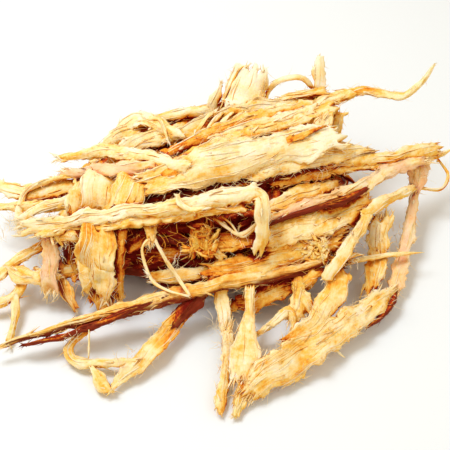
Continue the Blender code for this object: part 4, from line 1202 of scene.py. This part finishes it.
def set_painted_shade(objects):
    """Writes each point's painted shade, from 0 in the open to 1 in a gap, as the last part of its look."""
    cell = SHADE_CELL * MM
    gathered = []
    for made in objects:
        count = len(made.data.vertices)
        places = np.empty(count * 3, dtype=np.float32)
        normals = np.empty(count * 3, dtype=np.float32)
        made.data.vertices.foreach_get("co", places)
        made.data.vertex_normals.foreach_get("vector", normals)
        gathered.append((made, places.reshape(-1, 3), normals.reshape(-1, 3)))
    low = np.min([places.min(axis=0) for _, places, _ in gathered], axis=0) - SHADE_MARGIN * cell
    high = np.max([places.max(axis=0) for _, places, _ in gathered], axis=0) + SHADE_MARGIN * cell
    shape = np.ceil((high - low) / cell).astype(int) + 1

    def cells(places):
        return tuple(np.clip(((places - low) / cell).astype(int), 0, shape - 1).T)

    filled = np.zeros(shape, dtype=np.float32)
    for made, places, _ in gathered:
        if "fuzz" not in made.name:
            filled[cells(places)] = 1.0
    near = blurred(filled, 1)
    wide = blurred(filled, WIDE_PASSES)
    cover = np.flip(np.cumsum(np.flip(wide, axis=2), axis=2), axis=2)
    for made, places, normals in gathered:
        tight = near[cells(places + normals * NEAR_PROBE * MM)]
        loose = wide[cells(places + normals * WIDE_PROBE * MM)]
        above = cover[cells(places + np.array([0.0, 0.0, WIDE_PROBE * MM]))]
        look = made.data.attributes["look"]
        values = np.empty(len(places) * 4, dtype=np.float32)
        look.data.foreach_get("color", values)
        values = values.reshape(-1, 4)
        values[:, 3] = painted_shade_of(tight, loose, above, normals, "fuzz" in made.name)
        look.data.foreach_set("color", values.ravel())


def make_object(name, piece, material):
    """Turns a gathered piece into an object in metres, in the heap's own frame, with its attributes."""
    points = np.vstack(piece.points)
    points = (points - np.array([HEAP_MIDDLE[0], HEAP_MIDDLE[1], 0.0])) * MM
    faces = np.vstack(piece.faces)
    mesh = bpy.data.meshes.new(name)
    mesh.vertices.add(len(points))
    mesh.vertices.foreach_set("co", points.astype(np.float32).ravel())
    mesh.loops.add(faces.size)
    mesh.loops.foreach_set("vertex_index", faces.astype(np.int32).ravel())
    mesh.polygons.add(len(faces))
    mesh.polygons.foreach_set("loop_start", np.arange(0, faces.size, 3, dtype=np.int32))
    mesh.update(calc_edges=True)
    mesh.validate()
    look = mesh.attributes.new("look", "FLOAT_COLOR", "POINT")
    look.data.foreach_set("color", np.vstack(piece.looks).astype(np.float32).ravel())
    grain = mesh.attributes.new("grain", "FLOAT_VECTOR", "POINT")
    grain.data.foreach_set("vector", np.vstack(piece.grains).astype(np.float32).ravel())
    mesh.shade_smooth()
    mesh.materials.append(material)
    made = bpy.data.objects.new(name, mesh)
    bpy.context.scene.collection.objects.link(made)
    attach(made, "root")
    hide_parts(NODE)
    return made


class Tree:
    """Adds nodes to a material. An input that is given a socket is linked, and one given a value is set."""

    def __init__(self, material):
        material.use_nodes = True
        self.nodes = material.node_tree.nodes
        self.links = material.node_tree.links

    def fill(self, made, inputs):
        for place, value in inputs.items():
            if isinstance(value, bpy.types.NodeSocket):
                self.links.new(value, made.inputs[place])
            else:
                made.inputs[place].default_value = value
        return made

    def add(self, sort, inputs):
        return self.fill(self.nodes.new(sort), inputs)

    def attribute(self, name):
        made = self.nodes.new("ShaderNodeAttribute")
        made.attribute_name = name
        return made

    def noise(self, source, stretch, scale, detail):
        mapping = self.add("ShaderNodeMapping", {"Vector": source, "Scale": stretch})
        texture = self.add("ShaderNodeTexNoise",
                           {"Vector": mapping.outputs["Vector"], "Scale": scale, "Detail": detail})
        return texture.outputs["Fac"]

    def maths(self, operation, *values):
        made = self.nodes.new("ShaderNodeMath")
        made.operation = operation
        return self.fill(made, dict(enumerate(values))).outputs[0]

    def sum_of(self, first, second, factor, offset=0.0):
        """first + second * factor + offset"""
        if offset:
            first = self.maths("ADD", first, offset)
        return self.maths("MULTIPLY_ADD", second, factor, first)

    def mixed(self, factor, first, second):
        mix = self.nodes.new("ShaderNodeMix")
        mix.data_type = "RGBA"
        mix.clamp_factor = True
        return self.fill(mix, {0: factor, 6: first, 7: second}).outputs[2]


def flesh_tone(tree, base, painted_shade, grain, place, streaks, threads, speckle):
    """How deep the flesh's colour is.

    The strip's own tone has streaks, threads, fine cracks and mottling, which are stronger where it is deep.
    Soft patches and the painted shade of gaps, of what lies above and of sides turned from the lamp come on
    top.
    """
    patches = tree.noise(place, EVEN, PATCH_SCALE, PATCH_DETAIL)
    mottle = tree.noise(place, EVEN, MOTTLE_SCALE, FINE_DETAIL)
    cracks = tree.noise(grain, CRACKS[0], 1.0, CRACKS[1])
    crack = tree.nodes.new("ShaderNodeMapRange")
    crack.interpolation_type = "SMOOTHSTEP"
    tree.fill(crack, {"Value": tree.maths("ABSOLUTE", tree.maths("SUBTRACT", cracks, 0.5)),
                      "From Max": CRACK_WIDTH, "To Min": 1.0, "To Max": 0.0})
    detail = tree.sum_of(streaks, threads, THREAD_TONE)
    detail = tree.sum_of(detail, mottle, MOTTLE_TONE)
    detail = tree.sum_of(detail, speckle, SPECKLE_TONE)
    detail = tree.sum_of(detail, crack.outputs["Result"], CRACK_TONE, -DETAIL_MEAN)
    strength = tree.maths("MULTIPLY_ADD", base, DETAIL_GROWTH, DETAIL_LEAST)
    tone = tree.sum_of(base, tree.maths("MULTIPLY", detail, strength), 1.0)
    tone = tree.sum_of(tone, patches, PATCH_TONE, -PATCH_TONE / 2.0)
    return tree.sum_of(tone, painted_shade, PAINTED_SHADE_TONE)


def flesh_material(name, roughness, glow):
    """Dried flesh: colour by tone, with a pink blush and brown skin over it, and fibres in the bump.

    The glow is the share of light that passes through it.
    """
    material = bpy.data.materials.new(name)
    tree = Tree(material)
    grain = tree.attribute("grain").outputs["Vector"]
    look = tree.attribute("look")
    place = tree.nodes.new("ShaderNodeTexCoord").outputs["Object"]
    parts = tree.add("ShaderNodeSeparateColor", {"Color": look.outputs["Color"]})
    base, skin, blush = (parts.outputs[part] for part in ("Red", "Green", "Blue"))
    streaks = tree.noise(grain, STREAKS[0], 1.0, STREAKS[1])
    threads = tree.noise(grain, THREADS[0], 1.0, THREADS[1])
    speckle = tree.noise(place, EVEN, SPECKLE_SCALE, FINE_DETAIL)

    tone = flesh_tone(tree, base, look.outputs["Alpha"], grain, place, streaks, threads, speckle)
    ramp = tree.add("ShaderNodeValToRGB", {"Fac": tone})
    while len(ramp.color_ramp.elements) < len(FLESH_RAMP):
        ramp.color_ramp.elements.new(0.5)
    for element, (position, colour) in zip(ramp.color_ramp.elements, FLESH_RAMP):
        element.position = position
        element.color = (*colour, 1.0)
    skin_streak = tree.sum_of(streaks, threads, SKIN_STREAKS, -SKIN_STREAKS / 2.0)
    skin_colour = tree.mixed(skin_streak, SKIN_DARK, SKIN_LIGHT)
    broken_skin = tree.sum_of(skin, streaks, SKIN_BREAKS, -SKIN_BREAKS / 2.0)
    colour = tree.mixed(blush, ramp.outputs["Color"], BLUSH_COLOUR)
    colour = tree.mixed(tree.maths("MULTIPLY", broken_skin, skin), colour, skin_colour)

    height = tree.sum_of(threads, streaks, STREAK_HEIGHT)
    height = tree.sum_of(height, speckle, SPECKLE_HEIGHT)
    bump = tree.add("ShaderNodeBump", {"Strength": BUMP_STRENGTH, "Distance": BUMP_DEPTH, "Height": height})
    smoothest, roughest = (roughness + stray for stray in ROUGHNESS_SPAN)
    rough = tree.add("ShaderNodeMapRange", {"To Min": smoothest, "To Max": roughest, "Value": threads})
    tree.fill(tree.nodes["Principled BSDF"], {
        "Base Color": colour,
        "Normal": bump.outputs["Normal"],
        "Roughness": rough.outputs["Result"],
        "Specular IOR Level": SHINE,
        "Subsurface Weight": glow,
        "Subsurface Radius": GLOW_RADIUS,
        "Subsurface Scale": MM,
    })
    return material


def stage_material():
    material = bpy.data.materials.new("pale_floor")
    tree = Tree(material)
    tree.fill(tree.nodes["Principled BSDF"],
              {"Base Color": FLOOR_COLOUR, "Roughness": FLOOR_ROUGHNESS, "Specular IOR Level": FLOOR_SHINE})
    return material


def add_floor():
    mesh = bpy.data.meshes.new("floor")
    corners = [(x * FLOOR_HALF, y * FLOOR_HALF, 0.0) for x, y in ((-1, -1), (1, -1), (1, 1), (-1, 1))]
    mesh.from_pydata(corners, [], [(0, 1, 2, 3)])
    mesh.materials.append(stage_material())
    floor = bpy.data.objects.new("floor", mesh)
    bpy.context.scene.collection.objects.link(floor)


def add_light():
    """A warm white surround, a soft lamp overhead and a weak one in front."""
    world = bpy.data.worlds.new("surround")
    world.use_nodes = True
    world.node_tree.nodes["Background"].inputs["Color"].default_value = SURROUND_COLOUR
    world.node_tree.nodes["Background"].inputs["Strength"].default_value = SURROUND_STRENGTH
    bpy.context.scene.world = world
    for name, place, size, power in LAMPS:
        lamp = bpy.data.lights.new(name, "AREA")
        lamp.size = size
        lamp.energy = power
        lamp.color = LAMP_COLOUR
        holder = bpy.data.objects.new(name, lamp)
        holder.location = place
        holder.rotation_euler = (Vector(LAMP_AIM) - Vector(place)).to_track_quat("-Z", "Y").to_euler()
        bpy.context.scene.collection.objects.link(holder)


def add_camera():
    camera = bpy.data.objects.new("camera", bpy.data.cameras.new("camera"))
    camera.data.lens = LENS_MM
    camera.data.sensor_width = SENSOR_MM
    camera.location = [(value - middle) * MM for value, middle in zip(CAMERA_PLACE, (*HEAP_MIDDLE, 0.0))]
    camera.rotation_euler = (math.radians(90.0 - VIEW_ELEVATION), 0.0, 0.0)
    bpy.context.scene.collection.objects.link(camera)
    bpy.context.scene.camera = camera
    bpy.context.scene.view_settings.view_transform = "Standard"


def main():
    pieces = {name: Piece() for name in (*KINDS, "back", "under", "core", "fuzz", "low_fuzz", "far_fuzz")}
    for strip in (*STRIPS, *cross_strips(), *crumb_strips()):
        loose = pieces["fuzz" if strip.kind in PALE_KINDS else "low_fuzz"]
        add_strip(pieces[strip.kind], loose, strip, FRONT_FACING)
    for strip in back_strips():
        add_strip(pieces["back"], pieces["far_fuzz"], strip, BACK_FACING, BACK_FINENESS, BACK_HAIR)
    for strip in under_strips():
        add_strip(pieces["under"], pieces["far_fuzz"], strip, FRONT_FACING, UNDER_FINENESS, UNDER_HAIR)
    add_tufts(pieces["fuzz"], SEED + 3, TUFTS, TUFT_LENGTH, TUFT_WIDTH)
    add_tufts(pieces["low_fuzz"], SEED + 4, WEBS, WEB_LENGTH, WEB_WIDTH)
    add_core(pieces["core"])
    flesh = flesh_material("dried_flesh", roughness=0.55, glow=0.35)
    fibre = flesh_material("loose_fibre", roughness=0.55, glow=0.0)
    deep = flesh_material("deep_flesh", roughness=0.6, glow=0.2)
    materials = {"fuzz": fibre, "low_fuzz": fibre, "far_fuzz": fibre, "under": deep, "core": deep}
    objects = []
    for name, piece in pieces.items():
        objects.append(make_object(f"pollock_{name}", piece, materials.get(name, flesh)))
    set_painted_shade(objects)
    add_floor()
    add_light()
    add_camera()


main()
